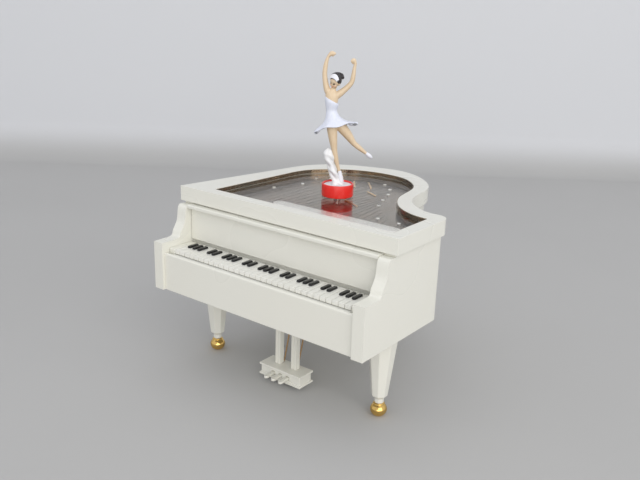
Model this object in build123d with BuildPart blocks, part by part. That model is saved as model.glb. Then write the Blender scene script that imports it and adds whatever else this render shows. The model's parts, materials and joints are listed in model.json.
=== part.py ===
"""Miniature grand piano musical box with a turning dancer.

Millimetres, +Z up.  The keyboard faces -Y and the treble end is at +X.  The origin is on the table
under the middle of the object, and the dancer's spindle stands on the Z axis.
"""
from build123d import *
from math import atan2, cos, degrees, sin
import os

os.makedirs("parts", exist_ok=True)

# ------------------------------------------------------------------ driving dimensions
LID_HALF = 79.0             # half the lid's width
HALF_DEPTH = 79.5           # half the object's depth, arms' front faces to the lid's tail
LID_FRONT = -55.5
LID_TOP = 110.9
LID_BOTTOM = 101.8
SIDE_END = -2.0             # where the straight treble side ends
SIDE_CORNER = 7.0
WINDOW_CORNER = 1.0
TAB_DROP = 2.0              # the lid's locating tabs, inside the case's front wall

CASE_BOTTOM = 51.3
CASE_INSET = 1.93           # how far the lid stands out past the case
WALL = 2.6
CASE_HALF = LID_HALF - CASE_INSET
CASE_FRONT = LID_FRONT + CASE_INSET
ARM_WIDTH = 7.07
ARM_INNER = CASE_HALF - ARM_WIDTH
ARM_TOP = 81.0
ARM_SHOULDER = 100.3
SLIP_FRONT = -77.7
SLIP_THICK = 2.5
SLIP_TOP = 74.5

PANE_TOP = 108.4
PANE_THICK = 1.6
PLATE_TOP = 105.3
PLATE_THICK = 1.5
LEDGE = 3.0                 # how far the pane and the plate reach under the rim
STRING_HEIGHT = 0.18
STRING_WIDTH = 0.3
STRING_COUNT = 26
STRING_NEAR_Y = -26.2
LINER_THICK = 0.5           # the strip that lines the window's edge above the pane
LINER_DROP = 0.25
RAIL_SPOT = (20.0, -30.4)
RAIL_LENGTH = 88.0
RAIL_WIDTH = 8.0
CURVE_SAMPLES = 24          # points that carry an inset copy of a curve

HINGE_Y = -54.9
HINGE_Z = 79.2
FALL_THICK = 1.2
FALL_TOP = 101.0
FALL_HALF = ARM_INNER - 0.3
LIP_FRONT = -59.1
LIP_THICK = 2.4
PIN_RADIUS = 0.6
PIN_DEPTH = 1.8
RUNNING_FIT = 0.05

KEY_COUNT = 32
KEY_SPAN = 130.0
KEY_PITCH = KEY_SPAN / KEY_COUNT
KEY_FRONT = -73.9
KEY_BACK = -55.9
KEY_TOP = 77.0
KEY_GROOVE = 0.3
KEY_BED_BOTTOM = 68.0
KEY_BED_TOP = 70.5
BLACK_FRONT = -66.5
BLACK_BACK = -59.0
BLACK_WIDTH = 2.3
BLACK_TOP = 78.2
OCTAVE = 7
SHARPS = (1, 2, 3, 5, 6)    # white-key boundaries with a sharp, counted from F

FRONT_LEG_X = 63.8
FRONT_LEG_Y = -40.2
REAR_LEG = (-14.0, 56.0)
LEG_TOP_FLAT = 16.6
LEG_LOW_FLAT = 8.7
LEG_LOW_Z = 12.6
NECK_FLAT = 5.2
FOOT_HEIGHT = 8.0
FOOT_RADIUS = 4.9

LYRE_HALF = 15.9
LYRE_FRONT = -52.2
LYRE_BACK = -39.3
LYRE_BOTTOM = 3.0
LYRE_TOP = 10.6
LYRE_PLATE = 1.3
LYRE_LIP = 0.9
POST_X = 6.2
POST_Y = -44.6
POST_WIDTH = 3.8
ROD_X = 5.5
ROD_LOW_Y = -40.9
ROD_HIGH_Y = -30.5
ROD_RADIUS = 0.45
PEDAL_PITCH = 5.5
PEDAL_Z = 5.6

BOTTOM_THICK = 2.7
BOTTOM_TOP = CASE_BOTTOM + BOTTOM_THICK
SCREW_SPOTS = ((-65.9, -20.0), (71.2, -20.0), (-51.4, 49.2), (29.4, 42.2))
SCREW_HEAD = 2.5
SCREW_HEAD_DEEP = 1.3
SCREW_SHANK = 1.25
SCREW_LENGTH = 10.0
POST_RADIUS = 3.5
POST_HEIGHT = 16.0

CUP_RADIUS = 9.7
CUP_BOTTOM = 108.7
CUP_TOP = 116.5
CUP_WALL = 1.0
INSERT_TOP = 115.7
SPINDLE_RADIUS = 1.5
SPINDLE_HOLE = 2.0

ARBOR_RADIUS = 1.5
ARBOR_TOP = 70.0
BED_TOP = 56.5
BARREL_RADIUS = 12.0
BARREL_BOTTOM = 58.2
BARREL_TOP = 72.0
BARREL_WALL = 0.8
CROWN_TEETH = 36
CROWN_HEIGHT = 1.2
CROWN_RADIUS = 11.0
PINION_TEETH = 12
PINION_R = CROWN_RADIUS * PINION_TEETH / CROWN_TEETH
CYLINDER_Z = BARREL_TOP + PINION_R + 0.95
CYLINDER_RADIUS = 6.5
CYLINDER_START = 15.5
CYLINDER_LENGTH = 19.0
CYLINDER_PIN = 0.6
WHEEL_TEETH = 40
WHEEL_R = 7.0
WHEEL_X = 38.6
WHEEL_THICK = 1.4
GOVERNOR_TEETH = 8
GOVERNOR_R = WHEEL_R * GOVERNOR_TEETH / WHEEL_TEETH
GOVERNOR_Z = CYLINDER_Z - WHEEL_R - GOVERNOR_R - 0.1
TOOTH_DEPTH = 0.55
SHAFT_RADIUS = 0.9
NOTE_COUNT = 18
NOTE_PITCH = 1.0
RATCHET_TEETH = 12
RATCHET_RADIUS = 5.0

DANCER_TURN = atan2(0.6056, 0.7958)     # turn of the dancer's own upright plane about the spindle
BASE_ALIGN = (Align.CENTER, Align.CENTER, Align.MIN)
MOVEMENT = Plane(origin=(0, 0, 0), x_dir=(-1, 0, 0), z_dir=(0, 0, 1))     # the movement lies to the bass side


def dancer_point(side, height, depth=0.0):
    """Point on the dancer: side along her own plane, depth behind it."""
    across = side * cos(DANCER_TURN) - depth * sin(DANCER_TURN)
    along = side * sin(DANCER_TURN) + depth * cos(DANCER_TURN)
    return Vector(across, along, height)


def limb(points, radii):
    """Add a round tapered limb through the points to the part that is being built."""
    for start, end, r_start, r_end in zip(points, points[1:], radii, radii[1:]):
        with Locations(Plane(origin=start, z_dir=end - start)):
            Cone(r_start, r_end, (end - start).length, align=BASE_ALIGN)
    for point, radius in zip(points, radii):
        with Locations(point):
            Sphere(radius * 1.02)


def toothed_disc(teeth, pitch_radius, depth=TOOTH_DEPTH):
    """Add a small gear's outline, thin-toothed for backlash, to the sketch that is being built."""
    root = pitch_radius - depth * 0.6
    Circle(root)
    with PolarLocations(root - 0.15, teeth):
        Trapezoid(0.42, depth + 0.15, 83, align=(Align.CENTER, Align.MIN), rotation=-90)


def meet(line_a, line_b):
    """Point where two lines cross, each given as a point and a direction in the XY plane."""
    (start_a, way_a), (start_b, way_b) = line_a, line_b
    gap = start_b - start_a
    reach = (gap.X * way_b.Y - gap.Y * way_b.X) / (way_a.X * way_b.Y - way_a.Y * way_b.X)
    return start_a + way_a * reach


def outline(corners, curve, inset, corner_radius):
    """Sketch of the area inside the straight sides and the curve, moved inwards by inset.

    The corners run anticlockwise between the curve's end and its start, and the straight sides
    beside the curve carry on along its end tangents.  The last corner is rounded.
    """
    stops = [curve @ 1, *corners, curve @ 0]
    sides = []
    for start, end in zip(stops, stops[1:]):
        way = (end - start).normalized()
        sides.append((start + Vector(-way.Y, way.X) * inset, way))
    bends = [meet(side, next_side) for side, next_side in zip(sides, sides[1:])]
    bent = []
    for sample in range(CURVE_SAMPLES + 1):
        way = curve % (sample / CURVE_SAMPLES)
        bent.append(curve @ (sample / CURVE_SAMPLES) + Vector(-way.Y, way.X) * inset)
    with BuildSketch(Plane.XY) as shape:
        with BuildLine():
            Polyline(bent[-1], *bends, bent[0])
            Spline(bent)
        make_face()
        fillet(shape.vertices().sort_by_distance(bends[-1])[0], corner_radius)
    return shape.sketch


# ------------------------------------------------------------------ outlines
with BuildLine() as lid_curve:
    Spline((67, SIDE_END), (60, 0.0), (52.5, 5.0), (45.4, 12.5), (41, 22), (38.7, 33), (36.6, 45),
           (31.5, 56), (21.8, 66.8), (7.4, 76.4), (-7, HALF_DEPTH), (-26, 75.3), (-41, 69.3),
           (-52, 61.2), (-59.5, 51), (-63.3, 41.3), (-65, 32.5))
lid_corners = [Vector(-LID_HALF, LID_FRONT), Vector(LID_HALF, LID_FRONT), Vector(LID_HALF, SIDE_END)]

with BuildLine() as window_curve:
    Spline((67, -12.9), (61.5, -11.7), (54.8, -8.8), (47.0, -3.2), (40.4, 4.5), (34.5, 16), (31.6, 29),
           (28.3, 42.5), (19.5, 54.8), (8, 62.4), (-6, 64.6), (-21, 62.6), (-34, 56.5),
           (-45, 46.5), (-51.5, 37.5), (-54.2, 28.5), (-54.9, 20))
window_corners = [Vector(-57.5, -47.5), Vector(71, -47.5), Vector(71, -13.2)]


def lid_shape(inset=0.0):
    """Sketch of the lid's outline, moved inwards by inset."""
    return outline(lid_corners, lid_curve.line, inset, SIDE_CORNER - inset)


def window_shape(outset=0.0):
    """Sketch of the window's outline, moved outwards by outset."""
    return outline(window_corners, window_curve.line, -outset, WINDOW_CORNER + outset)


with BuildSketch() as arm_outline:
    with BuildLine():
        Polyline((-70.5, ARM_TOP), (-79.5, ARM_TOP), (-79.5, CASE_BOTTOM), (-51.0, CASE_BOTTOM),
                 (-51.0, ARM_SHOULDER), (-57.5, ARM_SHOULDER))
        Spline([(-57.5, ARM_SHOULDER), (-59.9, 97.8), (-61.7, 88.9), (-64.6, 84.2), (-70.5, ARM_TOP)],
               tangents=((-1, 0), (-1, 0)))
    make_face()

# ------------------------------------------------------------------ case
with BuildPart() as case_shell:
    with BuildSketch(Plane.XY.offset(CASE_BOTTOM)):
        add(lid_shape(CASE_INSET))
    extrude(amount=LID_BOTTOM - CASE_BOTTOM)
    with BuildSketch(Plane.YZ.offset(-CASE_HALF)):
        add(arm_outline.sketch)
    extrude(amount=ARM_WIDTH)
    with BuildSketch(Plane.YZ.offset(ARM_INNER)):
        add(arm_outline.sketch)
    extrude(amount=ARM_WIDTH)
    with BuildSketch(Plane.XY.offset(CASE_BOTTOM)):
        add(lid_shape(CASE_INSET + WALL))
    extrude(amount=LID_BOTTOM - CASE_BOTTOM, mode=Mode.SUBTRACT)
    with Locations(*[(x, y, BOTTOM_TOP) for x, y in SCREW_SPOTS]):
        Cylinder(POST_RADIUS, POST_HEIGHT, align=BASE_ALIGN)
        Cylinder(SCREW_SHANK + RUNNING_FIT, SCREW_LENGTH - 1, align=BASE_ALIGN, mode=Mode.SUBTRACT)
    with Locations((0, HINGE_Y, HINGE_Z)):
        Cylinder(PIN_RADIUS + RUNNING_FIT, 2 * (ARM_INNER + PIN_DEPTH), rotation=(0, 90, 0), mode=Mode.SUBTRACT)
case_shell.part.label = "case_shell"
export_step(case_shell.part, "parts/case_shell.step")

with BuildPart() as bottom_plate:
    with BuildSketch(Plane.XY.offset(CASE_BOTTOM)):
        add(lid_shape(CASE_INSET + WALL + 0.15))
    extrude(amount=BOTTOM_THICK)
    with Locations((0, 0, CASE_BOTTOM)):
        Cylinder(SPINDLE_HOLE, BOTTOM_THICK, align=BASE_ALIGN, mode=Mode.SUBTRACT)
    with Locations(*[(x, y, CASE_BOTTOM) for x, y in SCREW_SPOTS]):
        Cylinder(SCREW_SHANK + 0.35, BOTTOM_THICK, align=BASE_ALIGN, mode=Mode.SUBTRACT)
        Cylinder(SCREW_HEAD + 0.2, SCREW_HEAD_DEEP + 0.1, align=BASE_ALIGN, mode=Mode.SUBTRACT)
bottom_plate.part.label = "bottom_plate"
export_step(bottom_plate.part, "parts/bottom_plate.step")

with BuildPart() as bottom_screws:
    with Locations(*[(x, y, CASE_BOTTOM) for x, y in SCREW_SPOTS]):
        Cylinder(SCREW_HEAD, SCREW_HEAD_DEEP, align=BASE_ALIGN)
        Cylinder(SCREW_SHANK, SCREW_LENGTH, align=BASE_ALIGN)
        Box(3.2, 0.7, 0.7, align=BASE_ALIGN, mode=Mode.SUBTRACT)
        Box(0.7, 3.2, 0.7, align=BASE_ALIGN, mode=Mode.SUBTRACT)
bottom_screws.part.label = "bottom_screws"
export_step(bottom_screws.part, "parts/bottom_screws.step")

# ------------------------------------------------------------------ keyboard
with BuildPart() as keyslip:
    with BuildSketch(Plane.YZ.offset(-ARM_INNER)):
        with Locations((SLIP_FRONT, CASE_BOTTOM)):
            Rectangle(SLIP_THICK, SLIP_TOP - CASE_BOTTOM, align=(Align.MIN, Align.MIN))
    extrude(amount=2 * ARM_INNER)
    fillet(keyslip.edges().filter_by(Axis.X).group_by(Axis.Z)[-1], 1.0)
keyslip.part.label = "keyslip"
export_step(keyslip.part, "parts/keyslip.step")

with BuildPart() as key_bed:
    with Locations((0, (SLIP_FRONT + SLIP_THICK + CASE_FRONT) / 2, KEY_BED_BOTTOM)):
        Box(2 * ARM_INNER, CASE_FRONT - SLIP_FRONT - SLIP_THICK, KEY_BED_TOP - KEY_BED_BOTTOM, align=BASE_ALIGN)
    with Locations((0, (SLIP_FRONT + SLIP_THICK + CASE_FRONT) / 2, CASE_BOTTOM)):
        Box(2 * ARM_INNER, CASE_FRONT - SLIP_FRONT - SLIP_THICK, BOTTOM_THICK, align=BASE_ALIGN)
    with GridLocations(45, 1, 4, 1):
        with Locations((0, (SLIP_FRONT + SLIP_THICK + CASE_FRONT) / 2, CASE_BOTTOM)):
            Box(WALL, CASE_FRONT - SLIP_FRONT - SLIP_THICK, KEY_BED_TOP - CASE_BOTTOM, align=BASE_ALIGN)
key_bed.part.label = "key_bed"
export_step(key_bed.part, "parts/key_bed.step")

with BuildPart() as white_keys:
    with Locations((0, (KEY_FRONT + KEY_BACK) / 2, KEY_BED_TOP)):
        Box(KEY_SPAN, KEY_BACK - KEY_FRONT, KEY_TOP - KEY_BED_TOP, align=BASE_ALIGN)
    with Locations((0, KEY_FRONT, KEY_BED_TOP)):
        Box(KEY_SPAN, 1.0, 4.4, align=(Align.CENTER, Align.MIN, Align.MIN), mode=Mode.SUBTRACT)
    for key in range(1, KEY_COUNT):
        with Locations((key * KEY_PITCH - KEY_SPAN / 2, KEY_FRONT, KEY_TOP)):
            Box(KEY_GROOVE, KEY_BACK - KEY_FRONT - 1.2, 3, align=(Align.CENTER, Align.MIN, Align.MAX),
                mode=Mode.SUBTRACT)
white_keys.part.label = "white_keys"
export_step(white_keys.part, "parts/white_keys.step")

sharp_spots = [key for key in range(1, KEY_COUNT) if key % OCTAVE in [sharp % OCTAVE for sharp in SHARPS]]
with BuildPart() as black_keys:
    for key in sharp_spots:
        with BuildSketch(Plane.XY.offset(KEY_TOP)):
            with Locations((key * KEY_PITCH - KEY_SPAN / 2, (BLACK_FRONT + BLACK_BACK) / 2)):
                RectangleRounded(BLACK_WIDTH, BLACK_BACK - BLACK_FRONT, 0.5)
        extrude(amount=BLACK_TOP - KEY_TOP)
    chamfer(black_keys.faces().filter_by(Axis.Z).group_by(Axis.Z)[-1].edges(), 0.25)
black_keys.part.label = "black_keys"
export_step(black_keys.part, "parts/black_keys.step")

with BuildPart() as key_blocks:
    block = (ARM_INNER - KEY_SPAN / 2) - 0.3
    with Locations(*[(side * (KEY_SPAN / 2 + 0.15 + block / 2), (KEY_FRONT + KEY_BACK) / 2, KEY_BED_TOP)
                     for side in (-1, 1)]):
        Box(block, KEY_BACK - KEY_FRONT, KEY_TOP - KEY_BED_TOP, align=BASE_ALIGN)
    fillet(key_blocks.edges().filter_by(Axis.X).group_by(Axis.Z)[-1], 0.5)
key_blocks.part.label = "key_blocks"
export_step(key_blocks.part, "parts/key_blocks.step")

# ------------------------------------------------------------------ fallboard
with BuildPart() as fallboard:
    with BuildSketch(Plane.YZ.offset(-FALL_HALF)):
        with Locations((HINGE_Y, HINGE_Z)):
            Circle(FALL_THICK / 2)
            Rectangle(FALL_THICK, FALL_TOP - HINGE_Z, align=(Align.CENTER, Align.MIN))
        with Locations((LIP_FRONT, FALL_TOP)):
            Rectangle(HINGE_Y - LIP_FRONT, LIP_THICK, align=(Align.MIN, Align.MAX))
    extrude(amount=2 * FALL_HALF)
    fillet(fallboard.edges().filter_by(Axis.X).group_by(Axis.Y)[0], 0.7)
    with Locations(*[(side * FALL_HALF, HINGE_Y, HINGE_Z) for side in (-1, 1)]):
        Cylinder(0.45, 3.4, rotation=(0, 90, 0), mode=Mode.SUBTRACT)
fallboard.part.label = "fallboard"
export_step(fallboard.part, "parts/fallboard.step")

with BuildPart() as fallboard_pins:
    for side in (-1, 1):
        with Locations((side * (FALL_HALF + 0.85), HINGE_Y, HINGE_Z)):
            Cylinder(PIN_RADIUS, 1.7, rotation=(0, 90, 0))
        with Locations((side * (FALL_HALF - 0.85), HINGE_Y, HINGE_Z)):
            Cylinder(0.45, 1.7, rotation=(0, 90, 0))
fallboard_pins.part.label = "fallboard_pins"
export_step(fallboard_pins.part, "parts/fallboard_pins.step")

# ------------------------------------------------------------------ lid, window and harp plate
with BuildPart() as lid_frame:
    with BuildSketch(Plane.XY.offset(LID_BOTTOM)):
        add(lid_shape())
    extrude(amount=LID_TOP - LID_BOTTOM)
    with Locations(*[(x, CASE_FRONT + WALL + 0.9, LID_BOTTOM) for x in (-45, 0, 45)]):
        Box(14, 1.4, TAB_DROP, align=(Align.CENTER, Align.CENTER, Align.MAX))
    with BuildSketch(Plane.XY.offset(LID_BOTTOM)):
        add(window_shape(LEDGE))
    extrude(amount=PANE_TOP - LID_BOTTOM, mode=Mode.SUBTRACT)
    with BuildSketch(Plane.XY.offset(PANE_TOP)):
        add(window_shape())
    extrude(amount=LID_TOP - PANE_TOP, mode=Mode.SUBTRACT)
lid_frame.part.label = "lid_frame"
export_step(lid_frame.part, "parts/lid_frame.step")

with BuildPart() as lid_pane:
    with BuildSketch(Plane.XY.offset(PANE_TOP - PANE_THICK)):
        add(window_shape(LEDGE - 0.15))
        Circle(SPINDLE_HOLE, mode=Mode.SUBTRACT)
    extrude(amount=PANE_THICK)
lid_pane.part.label = "lid_pane"
export_step(lid_pane.part, "parts/lid_pane.step")

with BuildPart() as window_liner:
    with BuildSketch(Plane.XY.offset(PANE_TOP)):
        add(window_shape())
        add(window_shape(-LINER_THICK), mode=Mode.SUBTRACT)
    extrude(amount=LID_TOP - LINER_DROP - PANE_TOP)
window_liner.part.label = "window_liner"
export_step(window_liner.part, "parts/window_liner.step")

with BuildPart() as harp_plate:
    with BuildSketch(Plane.XY.offset(PLATE_TOP - PLATE_THICK)):
        add(window_shape(LEDGE - 0.2))
        Circle(SPINDLE_HOLE, mode=Mode.SUBTRACT)
    extrude(amount=PLATE_THICK)
    with BuildSketch(Plane.XY.offset(PLATE_TOP)):
        add(window_shape(LEDGE - 0.2))
        add(window_shape(1.2), mode=Mode.SUBTRACT)
    extrude(amount=PANE_TOP - PANE_THICK - PLATE_TOP)
harp_plate.part.label = "harp_plate"
export_step(harp_plate.part, "parts/harp_plate.step")

# Fine strings fan from the pin rail to a curved hitch line inside the bent side.
with BuildLine() as hitch_line:
    Spline([(-50, 30), (-30, 52), (-4, 57), (12, 42), (22, 16), (38, -6), (62, -21)])
with BuildPart() as harp_strings:
    for string in range(STRING_COUNT):
        part_way = string / (STRING_COUNT - 1)
        near = Vector(-50 + 112 * part_way, STRING_NEAR_Y)
        far = hitch_line.line @ part_way
        run = Vector(far.X, far.Y) - near
        with BuildSketch(Plane.XY.offset(PLATE_TOP)):
            with Locations(near + run * 0.5):
                Rectangle(run.length, STRING_WIDTH, rotation=degrees(atan2(run.Y, run.X)))
            Circle(CUP_RADIUS * 0.5, mode=Mode.SUBTRACT)
        extrude(amount=STRING_HEIGHT)
harp_strings.part.label = "harp_strings"
export_step(harp_strings.part, "parts/harp_strings.step")

boss_spots = ((-1.5, 56.0), (8.5, 46.5), (15.0, 34.5), (20.0, 20.5), (25.5, 7.5), (41.0, -16.5), (55.0, -16.5),
              (-49.5, -2.0), (-42.5, 19.0), (-46.0, 38.0), (-38.0, 44.0))
with BuildPart() as plate_bosses:
    with Locations(*[(x, y, PLATE_TOP + STRING_HEIGHT) for x, y in boss_spots]):
        Cylinder(1.25, 0.5, align=BASE_ALIGN)
    chamfer(plate_bosses.faces().filter_by(Axis.Z).group_by(Axis.Z)[-1].edges(), 0.3)
plate_bosses.part.label = "plate_bosses"
export_step(plate_bosses.part, "parts/plate_bosses.step")

with BuildPart() as pin_rail:
    with BuildSketch(Plane.XY.offset(PLATE_TOP)):
        with Locations(RAIL_SPOT):
            SlotOverall(RAIL_LENGTH, RAIL_WIDTH)
    extrude(amount=1.1)
    chamfer(pin_rail.faces().filter_by(Axis.Z).group_by(Axis.Z)[-1].edges(), 0.3)
pin_rail.part.label = "pin_rail"
export_step(pin_rail.part, "parts/pin_rail.step")

strut_runs = (((3, 4), (17.5, -3.5)), ((-12.5, 52.5), (-2, 40)), ((1.3, 31), (11.5, 25.5)),
              ((-22, 49), (-12, 35.5)))
with BuildPart() as plate_struts:
    for start, end in strut_runs:
        run = Vector(*end) - Vector(*start)
        with BuildSketch(Plane.XY.offset(PLATE_TOP + STRING_HEIGHT)):
            with Locations(Vector(*start) + run * 0.5):
                SlotOverall(run.length, 1.3, rotation=degrees(atan2(run.Y, run.X)))
        extrude(amount=0.6)
    chamfer(plate_struts.faces().filter_by(Axis.Z).group_by(Axis.Z)[-1].edges(), 0.2)
plate_struts.part.label = "plate_struts"
export_step(plate_struts.part, "parts/plate_struts.step")

# ------------------------------------------------------------------ legs
leg_spots = {"left": (-FRONT_LEG_X, FRONT_LEG_Y), "right": (FRONT_LEG_X, FRONT_LEG_Y), "rear": REAR_LEG}
for place, (leg_x, leg_y) in leg_spots.items():
    with BuildPart() as leg:
        for height, flat in ((CASE_BOTTOM, LEG_TOP_FLAT), (LEG_LOW_Z, LEG_LOW_FLAT)):
            with BuildSketch(Plane((leg_x, leg_y, height))):
                RegularPolygon(flat / 2, 8, major_radius=False, rotation=22.5)
        loft()
        for height, flat in ((LEG_LOW_Z, LEG_LOW_FLAT), (LEG_LOW_Z - 1.6, NECK_FLAT)):
            with BuildSketch(Plane((leg_x, leg_y, height))):
                RegularPolygon(flat / 2, 8, major_radius=False, rotation=22.5)
        loft()
        with BuildSketch(Plane((leg_x, leg_y, FOOT_HEIGHT))):
            RegularPolygon(NECK_FLAT / 2, 8, major_radius=False, rotation=22.5)
        extrude(amount=LEG_LOW_Z - 1.6 - FOOT_HEIGHT)
    leg.part.label = f"leg_{place}"
    export_step(leg.part, f"parts/leg_{place}.step")

    with BuildPart() as foot:
        with BuildSketch(Plane(origin=(leg_x, leg_y, 0), x_dir=(1, 0, 0), z_dir=(0, -1, 0))):
            with BuildLine():
                Polyline((0, FOOT_HEIGHT), (0, 0), (2.7, 0))
                Spline([(2.7, 0), (4.3, 1.4), (FOOT_RADIUS, 3.7), (4.2, 6.1), (2.9, 7.2)],
                       tangents=((1, 0.15), (-0.8, 0.5)))
                Polyline((2.9, 7.2), (2.9, FOOT_HEIGHT), (0, FOOT_HEIGHT))
            make_face()
        revolve(axis=Axis((leg_x, leg_y, 0), (0, 0, 1)))
    foot.part.label = f"foot_{place}"
    export_step(foot.part, f"parts/foot_{place}.step")

# ------------------------------------------------------------------ pedal lyre
lyre_mid = (LYRE_FRONT + LYRE_BACK) / 2
lyre_deep = LYRE_BACK - LYRE_FRONT
with BuildPart() as lyre_box:
    for low in (LYRE_BOTTOM, LYRE_TOP - LYRE_PLATE):
        with Locations((0, lyre_mid, low)):
            Box(2 * LYRE_HALF, lyre_deep, LYRE_PLATE, align=BASE_ALIGN)
    with Locations((0, lyre_mid, LYRE_BOTTOM)):
        Box(2 * (LYRE_HALF - LYRE_LIP), lyre_deep - 2 * LYRE_LIP, LYRE_TOP - LYRE_BOTTOM, align=BASE_ALIGN)
    for pedal in (-1, 0, 1):
        with Locations((pedal * PEDAL_PITCH, LYRE_FRONT + LYRE_LIP, PEDAL_Z - 0.3)):
            Box(2.6, 2.2, 2.4, align=(Align.CENTER, Align.MIN, Align.MIN), mode=Mode.SUBTRACT)
lyre_box.part.label = "lyre_box"
export_step(lyre_box.part, "parts/lyre_box.step")

with BuildPart() as pedals:
    for pedal in (-1, 0, 1):
        with BuildSketch(Plane.XY.offset(PEDAL_Z)):
            with Locations((pedal * PEDAL_PITCH, LYRE_FRONT - 5.6)):
                Rectangle(2.2, 8.7, align=(Align.CENTER, Align.MIN))
                with Locations((0, 1.0)):
                    Ellipse(1.5, 2.0)
        extrude(amount=1.5)
pedals.part.label = "pedals"
export_step(pedals.part, "parts/pedals.step")

with BuildPart() as lyre_posts:
    for side in (-1, 1):
        with Locations((side * POST_X, POST_Y, LYRE_TOP)):
            Box(POST_WIDTH, POST_WIDTH, CASE_BOTTOM - LYRE_TOP, align=BASE_ALIGN)
        for face in (-1, 1):
            with Locations((side * POST_X, POST_Y + face * POST_WIDTH / 2, LYRE_TOP)):
                Box(0.9, 0.8, CASE_BOTTOM - LYRE_TOP, align=BASE_ALIGN, mode=Mode.SUBTRACT)
lyre_posts.part.label = "lyre_posts"
export_step(lyre_posts.part, "parts/lyre_posts.step")

with BuildPart() as lyre_rods:
    for side in (-1, 1):
        low_end = Vector(side * ROD_X, ROD_LOW_Y, LYRE_TOP + 0.15)
        high_end = Vector(side * ROD_X, ROD_HIGH_Y, CASE_BOTTOM - 0.15)
        with Locations(Plane(origin=low_end, z_dir=high_end - low_end)):
            Cylinder(ROD_RADIUS, (high_end - low_end).length, align=BASE_ALIGN)
lyre_rods.part.label = "lyre_rods"
export_step(lyre_rods.part, "parts/lyre_rods.step")

# ------------------------------------------------------------------ turntable and dancer
with BuildPart() as turntable_cup:
    with Locations((0, 0, CUP_BOTTOM)):
        Cylinder(CUP_RADIUS, CUP_TOP - CUP_BOTTOM, align=BASE_ALIGN)
        Cylinder(SPINDLE_RADIUS, CUP_TOP - CUP_BOTTOM, align=BASE_ALIGN, mode=Mode.SUBTRACT)
    with Locations((0, 0, CUP_BOTTOM + 2)):
        Cylinder(CUP_RADIUS - CUP_WALL, CUP_TOP - CUP_BOTTOM, align=BASE_ALIGN, mode=Mode.SUBTRACT)
turntable_cup.part.label = "turntable_cup"
export_step(turntable_cup.part, "parts/turntable_cup.step")

with BuildPart() as turntable_insert:
    with Locations((0, 0, CUP_BOTTOM + 2)):
        Cylinder(CUP_RADIUS - CUP_WALL, INSERT_TOP - CUP_BOTTOM - 2, align=BASE_ALIGN)
        Cylinder(SPINDLE_RADIUS, 3, align=BASE_ALIGN, mode=Mode.SUBTRACT)
turntable_insert.part.label = "turntable_insert"
export_step(turntable_insert.part, "parts/turntable_insert.step")

with BuildPart() as output_spindle:
    with Locations((0, 0, BARREL_TOP)):
        Cylinder(SPINDLE_RADIUS, CUP_BOTTOM + 5 - BARREL_TOP, align=BASE_ALIGN)
        Cylinder(2.6, 3, align=BASE_ALIGN)
output_spindle.part.label = "output_spindle"
export_step(output_spindle.part, "parts/output_spindle.step")

hip_left = dancer_point(-4.8, 152.5, -0.8)
hip_right = dancer_point(-1.9, 153.0, 0.8)
knee_left = dancer_point(-2.4, 136.3, -0.6)
knee_right = dancer_point(8.4, 141.2, 1.6)
ankle_left = dancer_point(0.9, 124.0, 0.0)
ankle_right = dancer_point(16.6, 134.5, 3.0)
toe_left = dancer_point(2.2, 116.8, -0.2)
toe_right = dancer_point(20.0, 131.9, 3.6)
with BuildPart() as dancer_legs:
    limb([hip_left, knee_left, ankle_left], [3.0, 1.9, 1.15])
    limb([hip_right, knee_right, ankle_right], [3.0, 1.9, 1.15])
dancer_legs.part.label = "dancer_legs"
export_step(dancer_legs.part, "parts/dancer_legs.step")

with BuildPart() as dancer_shoes:
    limb([ankle_left, toe_left], [1.45, 0.95])
    limb([ankle_right, toe_right], [1.45, 0.95])
dancer_shoes.part.label = "dancer_shoes"
export_step(dancer_shoes.part, "parts/dancer_shoes.step")

waist = dancer_point(-4.6, 159.6)
skirt_up = (waist - dancer_point(-3.0, 150.9)).normalized()
skirt_out = dancer_point(0, 0, 1)       # level, and square to the skirt's axis
with BuildPart() as dancer_dress:
    with BuildSketch(Plane(origin=waist, x_dir=skirt_out, z_dir=skirt_out.cross(skirt_up))):
        with BuildLine():
            Polyline((2.6, 0.6), (3.6, 0.4), (7.2, -4.6), (12.2, -8.6), (11.9, -9.3), (6.4, -6.0), (2.6, -2.0),
                     close=True)
        make_face()
    revolve(axis=Axis(waist, skirt_up))
    limb([dancer_point(-3.6, 153.2), waist, dancer_point(-4.7, 164.2), dancer_point(-4.8, 167.3)],
         [4.3, 3.2, 4.0, 3.8])
dancer_dress.part.label = "dancer_dress"
export_step(dancer_dress.part, "parts/dancer_dress.step")

shoulder_left = dancer_point(-8.0, 171.4, 0.2)
shoulder_right = dancer_point(-1.5, 170.2, 0.2)
neck = dancer_point(-4.6, 172.3)
head = dancer_point(-3.4, 177.0, -0.6)
with BuildPart() as dancer_body:
    limb([dancer_point(-4.8, 168.0), neck, head], [3.4, 1.6, 3.3])
    limb([shoulder_left, dancer_point(-4.8, 168.6), shoulder_right], [1.5, 2.6, 1.5])
    limb([shoulder_left, dancer_point(-11, 181.4, 0.4), dancer_point(-8.1, 190.6, 0.2),
          dancer_point(-5.2, 193.3)], [1.5, 1.15, 0.8, 0.6])
    limb([shoulder_right, dancer_point(5.8, 177.2, 0.4), dancer_point(6.8, 186.9, 0.2),
          dancer_point(5.4, 190.2)], [1.5, 1.15, 0.8, 0.6])
dancer_body.part.label = "dancer_body"
export_step(dancer_body.part, "parts/dancer_body.step")

with BuildPart() as dancer_hair:
    with Locations(head + Vector(0.3, 0.9, 0.9)):
        Sphere(3.75)
    with Locations(dancer_point(0.9, 179.6, 1.2)):
        Sphere(2.0)
    with Locations(head):
        Sphere(3.4, mode=Mode.SUBTRACT)
    with Locations(head + Vector(-2.4, -2.9, -2.0)):
        Sphere(3.4, mode=Mode.SUBTRACT)
dancer_hair.part.label = "dancer_hair"
export_step(dancer_hair.part, "parts/dancer_hair.step")

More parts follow.
